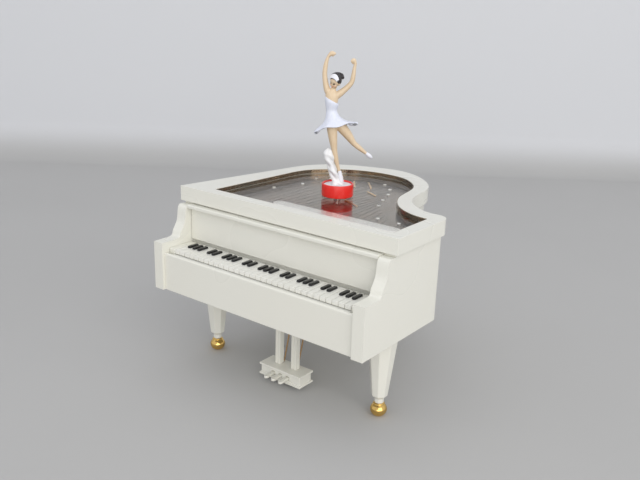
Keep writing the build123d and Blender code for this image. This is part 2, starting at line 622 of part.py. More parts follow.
with BuildPart() as dancer_headband:
    with Locations(Plane(origin=head + Vector(0.2, 0.4, 0.6), z_dir=(0.35, 0.62, -0.7))):
        Torus(3.75, 0.35)
dancer_headband.part.label = "dancer_headband"
export_step(dancer_headband.part, "parts/dancer_headband.step")

with BuildPart() as dancer_support:
    limb([dancer_point(0.4, INSERT_TOP + 2.3, -1.6), dancer_point(-2.8, 122.5, -1.6),
          dancer_point(-5.4, 129.0, -1.4), dancer_point(-6.6, 135.2, -1.2)], [2.2, 1.95, 1.8, 1.65])
dancer_support.part.label = "dancer_support"
export_step(dancer_support.part, "parts/dancer_support.step")

# ------------------------------------------------------------------ winding key and spring
with BuildPart() as key_arbor:
    with Locations((0, 0, 40.5)):
        Cylinder(ARBOR_RADIUS, ARBOR_TOP - 40.5, align=BASE_ALIGN)
key_arbor.part.label = "key_arbor"
export_step(key_arbor.part, "parts/key_arbor.step")

with BuildPart() as winding_key:
    with Locations((0, 0, 41.0)):
        Cylinder(3.2, 8.5, align=BASE_ALIGN)
    with BuildSketch(Plane.XZ.offset(-1.1)):
        with Locations((-8.0, 42.5), (8.0, 42.5)):
            Ellipse(7.6, 5.6)
        with Locations((-9.0, 42.5), (9.0, 42.5)):
            Ellipse(3.8, 2.6, mode=Mode.SUBTRACT)
    extrude(amount=2.2)
    with Locations((0, 0, 40.5)):
        Cylinder(ARBOR_RADIUS, 12, align=BASE_ALIGN, mode=Mode.SUBTRACT)
winding_key.part.label = "winding_key"
export_step(winding_key.part, "parts/winding_key.step")

with BuildPart() as ratchet_wheel:
    with BuildSketch(Plane.XY.offset(BED_TOP + 0.2)):
        Circle(RATCHET_RADIUS - 0.8)
        with PolarLocations(RATCHET_RADIUS - 1.0, RATCHET_TEETH):
            Triangle(a=1.3, b=1.3, C=90, align=(Align.CENTER, Align.CENTER))
        Circle(ARBOR_RADIUS, mode=Mode.SUBTRACT)
    extrude(amount=1.2)
ratchet_wheel.part.label = "ratchet_wheel"
export_step(ratchet_wheel.part, "parts/ratchet_wheel.step")

CLICK_PIVOT = (8.5, 6.0)
with BuildPart() as ratchet_click:
    with BuildSketch(Plane.XY.offset(BED_TOP + 0.2)):
        with Locations(CLICK_PIVOT):
            Circle(1.5)
        with BuildLine():
            Polyline((9.9, 5.6), (6.0, 0.4), (5.35, 0.9), (7.3, 6.8), close=True)
        make_face()
        with Locations(CLICK_PIVOT):
            Circle(0.65, mode=Mode.SUBTRACT)
    extrude(amount=1.1)
ratchet_click.part.label = "ratchet_click"
export_step(ratchet_click.part, "parts/ratchet_click.step")

with BuildPart() as spring_barrel:
    with Locations((0, 0, BARREL_BOTTOM)):
        Cylinder(BARREL_RADIUS, BARREL_TOP - BARREL_BOTTOM, align=BASE_ALIGN)
    with Locations((0, 0, BARREL_BOTTOM + BARREL_WALL)):
        Cylinder(BARREL_RADIUS - BARREL_WALL, BARREL_TOP - BARREL_BOTTOM - 2 * BARREL_WALL, align=BASE_ALIGN,
                 mode=Mode.SUBTRACT)
    with Locations((0, 0, BARREL_BOTTOM)):
        Cylinder(ARBOR_RADIUS + RUNNING_FIT, BARREL_WALL, align=BASE_ALIGN, mode=Mode.SUBTRACT)
    with BuildSketch(Plane.XY.offset(BARREL_TOP)):
        with PolarLocations(CROWN_RADIUS, CROWN_TEETH, start_angle=180 / CROWN_TEETH):
            Rectangle(1.6, 0.5)
    extrude(amount=CROWN_HEIGHT)
spring_barrel.part.label = "spring_barrel"
export_step(spring_barrel.part, "parts/spring_barrel.step")

# The wound spring is a chain of half turns about two centres a little apart.
with BuildPart() as mainspring:
    with BuildSketch(Plane.XY.offset(BARREL_BOTTOM + 1.6)):
        with BuildLine():
            radius = 2.2
            side = 1
            start = (radius, 0)
            for _ in range(16):
                end = (start[0] - side * 2 * radius, 0)
                middle = ((start[0] + end[0]) / 2, side * radius)
                ThreePointArc(start, middle, end)
                start = end
                radius += 0.45
                side = -side
        trace(line_width=0.35)
    extrude(amount=10)
mainspring.part.label = "mainspring"
export_step(mainspring.part, "parts/mainspring.step")

# ------------------------------------------------------------------ movement
with BuildPart(MOVEMENT) as movement_frame:
    with Locations((16, 0, BOTTOM_TOP)):
        Box(66, 44, BED_TOP - BOTTOM_TOP, align=BASE_ALIGN)
    with Locations((13.6, 0, BED_TOP), (36.4, 0, BED_TOP)):
        Box(1.6, 9, CYLINDER_Z + 2.4 - BED_TOP, align=BASE_ALIGN)
    with Locations((47.6, 0, BED_TOP)):
        Box(1.6, 7, GOVERNOR_Z + 2.4 - BED_TOP, align=BASE_ALIGN)
    with Locations((25.0, -18.6, BED_TOP)):
        Box(21, 6.4, CYLINDER_Z - 0.4 - BED_TOP, align=BASE_ALIGN)
    with Locations((25, 0, CYLINDER_Z)):
        Cylinder(SHAFT_RADIUS + RUNNING_FIT, 30, rotation=(0, 90, 0), mode=Mode.SUBTRACT)
    with Locations((42, 0, GOVERNOR_Z)):
        Cylinder(SHAFT_RADIUS + RUNNING_FIT, 16, rotation=(0, 90, 0), mode=Mode.SUBTRACT)
    with Locations((0, 0, BOTTOM_TOP)):
        Cylinder(ARBOR_RADIUS + RUNNING_FIT, BED_TOP - BOTTOM_TOP, align=BASE_ALIGN, mode=Mode.SUBTRACT)
    with Locations((-CLICK_PIVOT[0], -CLICK_PIVOT[1], BED_TOP)):
        Cylinder(0.6, 1.6, align=BASE_ALIGN)
movement_frame.part.label = "movement_frame"
export_step(movement_frame.part, "parts/movement_frame.step")

with BuildPart(MOVEMENT) as movement_screws:
    with Locations((-13, -18.5, BED_TOP), (-13, 18.5, BED_TOP), (45, 18.5, BED_TOP), (45, -18.5, BED_TOP)):
        Cylinder(2.2, 1.3, align=BASE_ALIGN)
        with Locations((0, 0, 1.3)):
            Box(3.4, 0.6, 0.6, align=(Align.CENTER, Align.CENTER, Align.MAX), mode=Mode.SUBTRACT)
movement_screws.part.label = "movement_screws"
export_step(movement_screws.part, "parts/movement_screws.step")

with BuildPart(MOVEMENT) as music_cylinder:
    with Locations((CYLINDER_START, 0, CYLINDER_Z)):
        Cylinder(CYLINDER_RADIUS, CYLINDER_LENGTH, rotation=(0, 90, 0), align=BASE_ALIGN)
        Cylinder(SHAFT_RADIUS, CYLINDER_LENGTH, rotation=(0, 90, 0), align=BASE_ALIGN, mode=Mode.SUBTRACT)
    for note in range(NOTE_COUNT):
        pin_x = CYLINDER_START + 1 + note * NOTE_PITCH
        pin_plane = Plane(origin=(-pin_x, 0, CYLINDER_Z), x_dir=(0, -1, 0), z_dir=(-1, 0, 0))
        with BuildSketch(pin_plane.offset(-0.15)):
            with PolarLocations(CYLINDER_RADIUS + CYLINDER_PIN / 2 - 0.1, 5, start_angle=note * 47):
                Rectangle(CYLINDER_PIN + 0.2, 0.3)
        extrude(amount=0.3)
music_cylinder.part.label = "music_cylinder"
export_step(music_cylinder.part, "parts/music_cylinder.step")

with BuildPart(MOVEMENT) as cylinder_shaft:
    with Locations((9.4, 0, CYLINDER_Z)):
        Cylinder(SHAFT_RADIUS, 31.0, rotation=(0, 90, 0), align=BASE_ALIGN)
cylinder_shaft.part.label = "cylinder_shaft"
export_step(cylinder_shaft.part, "parts/cylinder_shaft.step")

with BuildPart() as cylinder_pinion:
    with BuildSketch(Plane(origin=(-10.0, 0, CYLINDER_Z), x_dir=(0, 0, -1), z_dir=(-1, 0, 0))):
        toothed_disc(PINION_TEETH, PINION_R, 0.9)
        Circle(SHAFT_RADIUS, mode=Mode.SUBTRACT)
    extrude(amount=2.0)
cylinder_pinion.part.label = "cylinder_pinion"
export_step(cylinder_pinion.part, "parts/cylinder_pinion.step")

with BuildPart() as cylinder_wheel:
    with BuildSketch(Plane(origin=(-WHEEL_X, 0, CYLINDER_Z), x_dir=(0, 0, -1), z_dir=(-1, 0, 0))):
        toothed_disc(WHEEL_TEETH, WHEEL_R)
        Circle(SHAFT_RADIUS, mode=Mode.SUBTRACT)
    extrude(amount=WHEEL_THICK)
cylinder_wheel.part.label = "cylinder_wheel"
export_step(cylinder_wheel.part, "parts/cylinder_wheel.step")

with BuildPart() as music_comb:
    with BuildSketch(MOVEMENT.offset(CYLINDER_Z - 0.4)):
        with Locations((25.0, -18.6)):
            Rectangle(20, 6.4)
        for note in range(NOTE_COUNT):
            with Locations((CYLINDER_START + 1 + note * NOTE_PITCH, -CYLINDER_RADIUS - CYLINDER_PIN - 0.3)):
                Rectangle(0.7, 8.2, align=(Align.CENTER, Align.MAX))
    extrude(amount=0.8)
music_comb.part.label = "music_comb"
export_step(music_comb.part, "parts/music_comb.step")

with BuildPart(MOVEMENT) as comb_screws:
    with Locations(*[(x, -19.2, CYLINDER_Z + 0.4) for x in (18.5, 25.0, 31.5)]):
        Cylinder(1.7, 1.1, align=BASE_ALIGN)
        with Locations((0, 0, 1.1)):
            Box(2.6, 0.5, 0.5, align=(Align.CENTER, Align.CENTER, Align.MAX), mode=Mode.SUBTRACT)
comb_screws.part.label = "comb_screws"
export_step(comb_screws.part, "parts/comb_screws.step")

with BuildPart(MOVEMENT) as governor_spindle:
    with Locations((35.8, 0, GOVERNOR_Z)):
        Cylinder(SHAFT_RADIUS, 12.4, rotation=(0, 90, 0), align=BASE_ALIGN)
    with BuildSketch(Plane(origin=(-WHEEL_X, 0, GOVERNOR_Z), x_dir=(0, 0, 1), z_dir=(-1, 0, 0))):
        with Locations(Rotation(0, 0, 180 / GOVERNOR_TEETH)):
            toothed_disc(GOVERNOR_TEETH, GOVERNOR_R)
    extrude(amount=WHEEL_THICK)
governor_spindle.part.label = "governor_spindle"
export_step(governor_spindle.part, "parts/governor_spindle.step")

with BuildPart(MOVEMENT) as governor_fan:
    with Locations((41.4, 0, GOVERNOR_Z)):
        Cylinder(1.7, 4.6, rotation=(0, 90, 0), align=BASE_ALIGN)
    with Locations((43.7, 0, GOVERNOR_Z)):
        Box(4.0, 0.5, 9.0)
    with Locations((41.4, 0, GOVERNOR_Z)):
        Cylinder(SHAFT_RADIUS, 4.6, rotation=(0, 90, 0), align=BASE_ALIGN, mode=Mode.SUBTRACT)
governor_fan.part.label = "governor_fan"
export_step(governor_fan.part, "parts/governor_fan.step")
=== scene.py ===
"""Miniature grand piano musical box: finishes, rounded mouldings, the dancer and the studio.

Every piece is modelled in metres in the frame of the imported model.  Hard mouldings are rounded copies of
their CAD nodes, turned parts are spun, and the dancer is lofted, fused and painted.  The inner parts keep
their CAD meshes under procedural finishes.
"""
import json
import logging
import math
from dataclasses import dataclass, field
from enum import Enum
from typing import Any, Sequence

import bmesh
import bpy
from mathutils import Matrix, Vector


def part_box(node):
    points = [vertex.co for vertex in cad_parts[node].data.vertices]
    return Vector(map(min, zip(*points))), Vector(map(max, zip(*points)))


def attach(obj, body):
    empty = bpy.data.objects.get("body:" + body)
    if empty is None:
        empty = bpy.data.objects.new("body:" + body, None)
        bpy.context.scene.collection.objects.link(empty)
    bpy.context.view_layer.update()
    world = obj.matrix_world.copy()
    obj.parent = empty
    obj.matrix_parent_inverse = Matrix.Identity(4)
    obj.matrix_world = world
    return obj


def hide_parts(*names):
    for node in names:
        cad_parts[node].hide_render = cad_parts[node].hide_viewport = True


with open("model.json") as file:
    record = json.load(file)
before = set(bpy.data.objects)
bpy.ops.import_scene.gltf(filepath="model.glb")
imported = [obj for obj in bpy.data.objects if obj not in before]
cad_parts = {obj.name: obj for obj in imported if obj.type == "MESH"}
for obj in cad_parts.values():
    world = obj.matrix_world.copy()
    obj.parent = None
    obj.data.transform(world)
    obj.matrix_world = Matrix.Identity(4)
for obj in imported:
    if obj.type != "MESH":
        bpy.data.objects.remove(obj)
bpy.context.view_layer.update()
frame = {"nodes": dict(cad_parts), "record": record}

LOG = logging.getLogger("piano")
MM = 0.001
UP = Vector((0.0, 0.0, 1.0))
Triple = tuple[float, float, float]
Colour = Triple
Edges = list[bmesh.types.BMEdge]
Profile = Sequence[tuple[float, float]]


class Body(str, Enum):
    """The bodies that pieces ride on."""

    CASE = "case"
    FALLBOARD = "fallboard"
    TURNTABLE = "turntable"
    WINDER = "winder"


class Slot(str, Enum):
    """The material slots of the record."""

    IVORY = "ivory_plastic"
    WHITE_KEY = "white_key"
    BLACK_KEY = "black_key"
    PANE = "clear_pane"
    PLATE = "bronze_plate"
    TRIM = "plate_trim"
    SILVER = "silver_trim"
    GILT = "gilt_foot"
    WIRE = "brass_wire"
    RED = "red_plastic"
    WHITE = "white_plastic"
    SKIN = "skin_paint"
    HAIR = "hair_paint"
    DRESS = "dress_paint"
    SHOE = "shoe_paint"
    BAND = "band_paint"
    CASTING = "cast_frame"
    STEEL = "steel"
    BRASS = "brass"
    SPRING = "spring_steel"


# ---------------------------------------------------------------- shader building
class Value:
    """A shader socket that takes part in arithmetic."""

    def __init__(self, graph: "Graph", socket: bpy.types.NodeSocket) -> None:
        """Keep the graph that owns the socket, and the socket."""
        self.graph = graph
        self.socket = socket

    def math(self, operation: str, *others: Any, flip: bool = False) -> "Value":
        """Add a Math node.

        Args:
            operation: The node's operation.
            others: Further operands, as values or numbers.
            flip: Whether this value is the second operand.

        Returns:
            The node's result.
        """
        operands = [self, *others]
        if flip:
            operands.reverse()
        node = self.graph.node("ShaderNodeMath", {"operation": operation}, dict(enumerate(operands)))
        return Value(self.graph, node.outputs[0])

    def __add__(self, other: Any) -> "Value":
        """Return the sum."""
        return self.math("ADD", other)

    __radd__ = __add__

    def __sub__(self, other: Any) -> "Value":
        """Return the difference."""
        return self.math("SUBTRACT", other)

    def __rsub__(self, other: Any) -> "Value":
        """Return a number less this value."""
        return self.math("SUBTRACT", other, flip=True)

    def __mul__(self, other: Any) -> "Value":
        """Return the product."""
        return self.math("MULTIPLY", other)

    __rmul__ = __mul__

    def step(self, low: float, high: float) -> "Value":
        """Return a smooth ramp from 0 at low to 1 at high."""
        node = self.graph.node(
            "ShaderNodeMapRange",
            {"interpolation_type": "SMOOTHSTEP"},
            {"Value": self, "From Min": low, "From Max": high},
        )
        return Value(self.graph, node.outputs["Result"])

    def sine(self) -> "Value":
        """Return the sine."""
        return self.math("SINE")

    def part(self, axis: str) -> "Value":
        """Return one component of a vector value."""
        node = self.graph.node("ShaderNodeSeparateXYZ", inputs={"Vector": self})
        return Value(self.graph, node.outputs[axis])

    def along(self, origin: Vector, direction: Vector) -> "Value":
        """Measure a vector value along a direction.

        Args:
            origin: The point measured from.
            direction: The unit direction measured along.

        Returns:
            The distance along the direction.
        """
        gap = self.graph.node("ShaderNodeVectorMath", {"operation": "SUBTRACT"}, {0: self, 1: tuple(origin)})
        dot = self.graph.node(
            "ShaderNodeVectorMath", {"operation": "DOT_PRODUCT"}, {0: gap.outputs[0], 1: tuple(direction)}
        )
        return Value(self.graph, dot.outputs["Value"])


class Graph:
    """The node graph of one material."""

    def __init__(self, name: str) -> None:
        """Start an empty material graph with an output."""
        self.material = bpy.data.materials.new(name)
        self.material.use_nodes = True
        self.tree = self.material.node_tree
        self.tree.nodes.clear()
        self.output = self.tree.nodes.new("ShaderNodeOutputMaterial")

    def node(
        self, kind: str, settings: dict[str, Any] | None = None, inputs: dict[Any, Any] | None = None
    ) -> bpy.types.Node:
        """Add a node.

        Args:
            kind: The node's type.
            settings: Properties, which are set first.
            inputs: Values or links for its sockets, by name or number.

        Returns:
            The new node.
        """
        made = self.tree.nodes.new(kind)
        for key, setting in (settings or {}).items():
            setattr(made, key, setting)
        for key, given in (inputs or {}).items():
            self.feed(made.inputs[key], given)
        return made

    def feed(self, socket: bpy.types.NodeSocket, given: Any) -> None:
        """Link or set one socket."""
        if isinstance(given, Value):
            self.tree.links.new(given.socket, socket)
        elif isinstance(given, bpy.types.NodeSocket):
            self.tree.links.new(given, socket)
        elif isinstance(given, tuple) and len(given) == 3 and socket.type == "RGBA":
            socket.default_value = (*given, 1.0)
        else:
            socket.default_value = given

    def place(self, stretch: Triple = (1.0, 1.0, 1.0)) -> Value:
        """Return the object coordinates, stretched along each axis."""
        coords = self.node("ShaderNodeTexCoord").outputs["Object"]
        if stretch == (1.0, 1.0, 1.0):
            return Value(self, coords)
        node = self.node("ShaderNodeMapping", inputs={"Vector": coords, "Scale": stretch})
        return Value(self, node.outputs[0])

    def noise(self, where: Value, scale: float, detail: float = 2.0, roughness: float = 0.5) -> Value:
        """Return a noise of the given scale at a place."""
        node = self.node(
            "ShaderNodeTexNoise",
            inputs={"Vector": where, "Scale": scale, "Detail": detail, "Roughness": roughness},
        )
        return Value(self, node.outputs[0])

    def tint(self, amount: Value, below: Any, above: Any) -> Value:
        """Return a colour that goes from below to above with amount."""
        node = self.node("ShaderNodeMix", {"data_type": "RGBA"}, {0: amount, 6: below, 7: above})
        return Value(self, node.outputs[2])

    def bump(self, height: Value, depth: float, strength: float = 1.0) -> Value:
        """Return a normal bent by a height that spans depth metres."""
        node = self.node("ShaderNodeBump", inputs={"Height": height, "Distance": depth, "Strength": strength})
        return Value(self, node.outputs["Normal"])

    def surface(self, **sockets: Any) -> bpy.types.Material:
        """Finish with one principled surface.

        Args:
            sockets: Values for its sockets, with underscores for spaces.

        Returns:
            The finished material.
        """
        shader = self.node(
            "ShaderNodeBsdfPrincipled", inputs={key.replace("_", " "): given for key, given in sockets.items()}
        )
        self.tree.links.new(shader.outputs[0], self.output.inputs["Surface"])
        return self.material


# ---------------------------------------------------------------- finishes
@dataclass(frozen=True)
class MouldedPlastic:
    """Glossy injection moulding: clouded colour, a faint flow texture and uneven gloss."""

    colour: Colour
    shade: Colour
    roughness: float = 0.28
    coat: float = 0.25
    cloud: float = 14.0
    depth: float = 0.000008

    def material(self, name: str) -> bpy.types.Material:
        """Build the material under a name."""
        graph = Graph(name)
        where = graph.place()
        clouds = graph.noise(where, self.cloud, 2.0, 0.5)
        flow = graph.noise(where, 95.0, 2.0)
        return graph.surface(
            Base_Color=graph.tint(clouds.step(0.25, 0.75), self.colour, self.shade),
            Roughness=clouds * 0.06 + (self.roughness - 0.03),
            Coat_Weight=self.coat,
            Coat_Roughness=0.12,
            Normal=graph.bump(flow, self.depth, 0.3),
        )


@dataclass(frozen=True)
class TurnedMetal:
    """Bare or plated metal: directional fine scratches, cloudy tarnish and uneven polish."""

    colour: Colour
    tarnish: Colour
    roughness: float = 0.18
    grain: Triple = (1.0, 1.0, 8.0)
    wear: float = 0.35
    depth: float = 0.000015

    def material(self, name: str) -> bpy.types.Material:
        """Build the material under a name."""
        graph = Graph(name)
        where = graph.place()
        lines = graph.noise(graph.place(self.grain), 420.0, 3.0, 0.6)
        stain = graph.noise(where, 150.0, 4.0, 0.6).step(0.45, 0.75)
        return graph.surface(
            Base_Color=graph.tint(stain * self.wear, self.colour, self.tarnish),
            Metallic=1.0,
            Roughness=lines * 0.10 + stain * 0.12 + (self.roughness - 0.06),
            Normal=graph.bump(lines, self.depth, 0.4),
        )


@dataclass(frozen=True)
class PaintedMarks:
    """Small soft-edged marks on a painted part, each with its place, half sizes in millimetres and colour."""

    origin: Vector
    right: Vector
    front: Vector
    rise: Vector
    spots: tuple[tuple[float, float, float, float, Colour], ...]

    def over(self, graph: Graph, hue: Value) -> Value:
        """Lay the marks over a colour, on the side that looks to the front.

        Args:
            graph: The graph that the colour is in.
            hue: The colour under the marks.

        Returns:
            The colour with the marks.
        """
        where = graph.place()
        right = where.along(self.origin, self.right)
        front = where.along(self.origin, self.front)
        rise = where.along(self.origin, self.rise)
        ahead = front.step(0.4 * MM, 1.2 * MM)
        for across, height, half_width, half_height, colour in self.spots:
            gap_x = (right - across * MM) * (1.0 / (half_width * MM))
            gap_z = (rise - height * MM) * (1.0 / (half_height * MM))
            inside = 1.0 - (gap_x * gap_x + gap_z * gap_z).step(0.6, 1.3)
            hue = graph.tint(inside * ahead, hue, colour)
        return hue


@dataclass(frozen=True)
class BrushedPaint:
    """Hand-brushed enamel on a small moulding: thin and thick strokes, and painted shade on the faces that look
    down.
    """

    colour: Colour
    thin: Colour
    underside_shade: Colour
    roughness: float = 0.42
    stroke: float = 900.0
    underside_shade_amount: float = 0.6
    depth: float = 0.00004

    def material(self, name: str) -> bpy.types.Material:
        """Build the material under a name."""
        return self.marked(name, None)

    def marked(self, name: str, marks: PaintedMarks | None) -> bpy.types.Material:
        """Build the material, with painted marks laid over the colour if there are any.

        Args:
            name: The material's name.
            marks: The marks, or None.

        Returns:
            The finished material.
        """
        graph = Graph(name)
        strokes = graph.noise(graph.place((1.0, 1.0, 0.4)), self.stroke, 3.0, 0.6)
        cloud = graph.noise(graph.place(), 160.0, 3.0)
        # Painted shade: faces that look down are tinted towards the shade colour, the more the further they turn
        # down.
        facing = Value(graph, graph.node("ShaderNodeNewGeometry").outputs["Normal"]).part("Z")
        under = 1.0 - (facing + cloud * 0.4).step(-0.9, 0.35)
        hue = graph.tint(strokes.step(0.35, 0.7) * 0.7, self.colour, self.thin)
        hue = graph.tint(under * self.underside_shade_amount, hue, self.underside_shade)
        if marks is not None:
            hue = marks.over(graph, hue)
        return graph.surface(
            Base_Color=hue,
            Roughness=strokes * 0.16 + (self.roughness - 0.08),
            Specular_IOR_Level=0.5,
            Normal=graph.bump(strokes, self.depth, 0.45),
        )


@dataclass(frozen=True)
class CombedEnamel:
    """Black enamel over moulded, combed hair, with painted sheen in lighter bands along the combing."""

    colour: Colour = (0.012, 0.010, 0.012)
    painted_sheen: Colour = (0.07, 0.06, 0.07)
    strands: float = 2300.0 / 6.0

    def material(self, name: str) -> bpy.types.Material:
        """Build the material under a name."""
        graph = Graph(name)
        wave = graph.node(
            "ShaderNodeTexWave",
            {"wave_type": "BANDS", "bands_direction": "DIAGONAL"},
            {
                "Vector": graph.place(), "Scale": self.strands, "Distortion": 5.0, "Detail": 2.0,
                "Detail Scale": 1.6,
            },
        )
        combed = Value(graph, wave.outputs[1])
        return graph.surface(
            # Painted sheen: the combed bands are tinted lighter in the colour.
            Base_Color=graph.tint(combed.step(0.55, 1.0) * 0.6, self.colour, self.painted_sheen),
            Roughness=combed * 0.12 + 0.24,
            Coat_Weight=0.3,
            Coat_Roughness=0.15,
            Normal=graph.bump(combed, 0.0001, 0.6),
        )


@dataclass(frozen=True)
class MirrorPlate:
    """Metallised harp plate: a taupe mirror with fine fanned lines and a streaky bronze cast."""

    colour: Colour = (0.235, 0.195, 0.15)
    bronze: Colour = (0.27, 0.185, 0.115)
    line: Colour = (0.42, 0.36, 0.28)
    fan: tuple[float, float] = (-0.010, -0.230)
    lines: float = 210.0

    def material(self, name: str) -> bpy.types.Material:
        """Build the material under a name."""
        graph = Graph(name)
        where = graph.place()
        across = where.part("X") - self.fan[0]
        away = where.part("Y") - self.fan[1]
        bearing = across.math("ARCTAN2", away)
        drift = graph.noise(where, 55.0, 3.0)
        ribs = ((bearing * self.lines + drift * 0.6) * math.tau).sine()
        streaks = graph.noise(graph.place((6.0, 1.0, 1.0)), 22.0, 4.0, 0.6)
        hue = graph.tint(streaks.step(0.35, 0.7), self.colour, self.bronze)
        return graph.surface(
            Base_Color=graph.tint(ribs.step(0.55, 0.98) * 0.5, hue, self.line),
            Metallic=1.0,
            Roughness=drift * 0.10 + ribs.step(-1.0, 1.0) * 0.04 + 0.06,
            Normal=graph.bump(ribs, 0.00002, 0.35),
        )


@dataclass(frozen=True)
class ClearSheet:
    """Clear glossy sheet: clear straight on, bright where it is seen aslant, with faint haze."""

    tint: Colour = (0.985, 0.985, 0.975)
    straight: float = 0.02
    aslant: float = 0.5
    haze: float = 0.02

    def material(self, name: str) -> bpy.types.Material:
        """Build the material under a name."""
        graph = Graph(name)
        smudge = graph.noise(graph.place(), 38.0, 4.0, 0.6)
        gloss = graph.node(
            "ShaderNodeBsdfPrincipled",
            inputs={
                "Base Color": (1.0, 1.0, 1.0),
                "Metallic": 1.0,
                "Roughness": smudge.step(0.5, 0.8) * 0.05 + self.haze,
                "Normal": graph.bump(smudge, 0.00005, 0.2),
            },
        )
        clear = graph.node("ShaderNodeBsdfTransparent", inputs={"Color": self.tint})
        facing = Value(graph, graph.node("ShaderNodeLayerWeight", inputs={"Blend": 0.5}).outputs["Facing"])
        slant = facing.math("POWER", 5.0) * self.aslant + self.straight
        both = graph.node("ShaderNodeMixShader", inputs={0: slant, 1: clear.outputs[0], 2: gloss.outputs[0]})
        graph.tree.links.new(both.outputs[0], graph.output.inputs["Surface"])
        return graph.material


@dataclass(frozen=True)
class Backdrop:
    """Pale studio sweep with a soft uneven tone."""

    colour: Colour
    shade: Colour
    wall: Colour
    turn: tuple[float, float] = (0.004, 0.05)

    def material(self, name: str) -> bpy.types.Material:
        """Build the material under a name."""
        graph = Graph(name)
        where = graph.place()
        cloud = graph.noise(where, 3.0, 3.0)
        fibre = graph.noise(where, 700.0, 2.0)
        ground = graph.tint(cloud.step(0.3, 0.7), self.colour, self.shade)
        return graph.surface(
            Base_Color=graph.tint(where.part("Z").step(*self.turn), ground, self.wall),
            Roughness=fibre * 0.1 + 0.85,
            Normal=graph.bump(fibre, 0.0001, 0.2),
        )


FINISHES: dict[Slot, Any] = {
    Slot.IVORY: MouldedPlastic((0.80, 0.79, 0.715), (0.795, 0.78, 0.70)),
    Slot.WHITE_KEY: MouldedPlastic((0.83, 0.82, 0.77), (0.79, 0.78, 0.72), roughness=0.24, coat=0.35),
    Slot.BLACK_KEY: MouldedPlastic((0.004, 0.004, 0.005), (0.008, 0.007, 0.007), roughness=0.36, coat=0.1),
    Slot.PANE: ClearSheet(),
    Slot.PLATE: MirrorPlate(),
    Slot.TRIM: TurnedMetal((0.95, 0.66, 0.34), (0.80, 0.50, 0.24), roughness=0.3, wear=0.2),
    Slot.SILVER: TurnedMetal((0.97, 0.95, 0.92), (0.82, 0.78, 0.70), roughness=0.3, wear=0.2),
    Slot.GILT: TurnedMetal((0.80, 0.53, 0.17), (0.46, 0.26, 0.08), roughness=0.10, wear=0.5),
    Slot.WIRE: TurnedMetal((0.42, 0.27, 0.14), (0.22, 0.13, 0.07), roughness=0.32),
    Slot.RED: MouldedPlastic((0.84, 0.026, 0.018), (0.76, 0.020, 0.014), roughness=0.3, coat=0.2),
    # The third colour of each brushed paint is its painted shade on the faces that look down.
    Slot.WHITE: BrushedPaint((0.86, 0.86, 0.86), (0.80, 0.80, 0.82), (0.36, 0.37, 0.42), roughness=0.32),
    Slot.SKIN: BrushedPaint((0.74, 0.57, 0.38), (0.79, 0.64, 0.46), (0.42, 0.27, 0.15)),
    Slot.HAIR: CombedEnamel(),
    Slot.DRESS: BrushedPaint((0.73, 0.76, 0.87), (0.80, 0.82, 0.90), (0.22, 0.23, 0.28), roughness=0.38),
    Slot.SHOE: BrushedPaint((0.82, 0.82, 0.88), (0.88, 0.88, 0.92), (0.50, 0.50, 0.60), roughness=0.34),
    Slot.BAND: BrushedPaint((0.86, 0.86, 0.90), (0.78, 0.78, 0.84), (0.45, 0.45, 0.55), roughness=0.28),
    Slot.CASTING: TurnedMetal((0.52, 0.52, 0.53), (0.36, 0.36, 0.37), roughness=0.45, grain=(1.0, 1.0, 1.0)),
    Slot.STEEL: TurnedMetal((0.66, 0.67, 0.69), (0.45, 0.44, 0.43), roughness=0.22),
    Slot.BRASS: TurnedMetal((0.80, 0.62, 0.32), (0.52, 0.36, 0.16), roughness=0.24, grain=(8.0, 1.0, 1.0)),
    Slot.SPRING: TurnedMetal((0.24, 0.27, 0.36), (0.14, 0.12, 0.14), roughness=0.24),
}


class Palette:
    """The materials made so far, one for each slot."""

    def __init__(self) -> None:
        """Start with none made."""
        self.made: dict[Slot, bpy.types.Material] = {}

    def of(self, slot: Slot) -> bpy.types.Material:
        """Return a slot's material, making it the first time."""
        if slot not in self.made:
            self.made[slot] = FINISHES[slot].material(slot.value)
        return self.made[slot]


PALETTE = Palette()


# ---------------------------------------------------------------- mesh building
def welded(node: str) -> bmesh.types.BMesh:
    """Return a merged working copy of a CAD node's mesh, its flats joined into single faces."""
    work = bmesh.new()
    work.from_mesh(frame["nodes"][node].data)
    bmesh.ops.remove_doubles(work, verts=work.verts, dist=2e-6)
    bmesh.ops.dissolve_limit(work, angle_limit=math.radians(0.5), verts=work.verts, edges=work.edges)
    return work


def round_edges(work: bmesh.types.BMesh, radius: float, segments: int = 3, angle: float = 35.0) -> None:
    """Round every edge that is sharper than an angle.

    Args:
        work: The mesh to round.
        radius: The rounding's offset, in metres.
        segments: The rounding's segments.
        angle: The least angle between faces, in degrees.
    """
    limit = math.radians(angle)
    edges = [edge for edge in work.edges if len(edge.link_faces) == 2 and edge.calc_face_angle(0.0) > limit]
    bmesh.ops.bevel(
        work, geom=edges, offset=radius, offset_type="OFFSET", segments=segments, profile=0.5, affect="EDGES",
        clamp_overlap=True, material=-1,
    )
    bmesh.ops.remove_doubles(work, verts=work.verts, dist=1e-6)


def lathe(profile: Profile, spot: Vector, steps: int = 64) -> bmesh.types.BMesh:
    """Spin a profile round an upright line.

    Args:
        profile: Radius and height pairs in millimetres, from the bottom up.
        spot: The line's foot.
        steps: The number of steps round.

    Returns:
        The closed turned shape.
    """
    work = bmesh.new()
    chain = [work.verts.new(spot + Vector((radius, 0.0, height)) * MM) for radius, height in profile]
    links = [work.edges.new(pair) for pair in zip(chain, chain[1:])]
    bmesh.ops.spin(
        work, geom=[*chain, *links], cent=spot, axis=(0.0, 0.0, 1.0), angle=math.tau, steps=steps, use_merge=True
    )
    bmesh.ops.remove_doubles(work, verts=work.verts, dist=1e-6)
    bmesh.ops.recalc_face_normals(work, faces=work.faces)
    return work


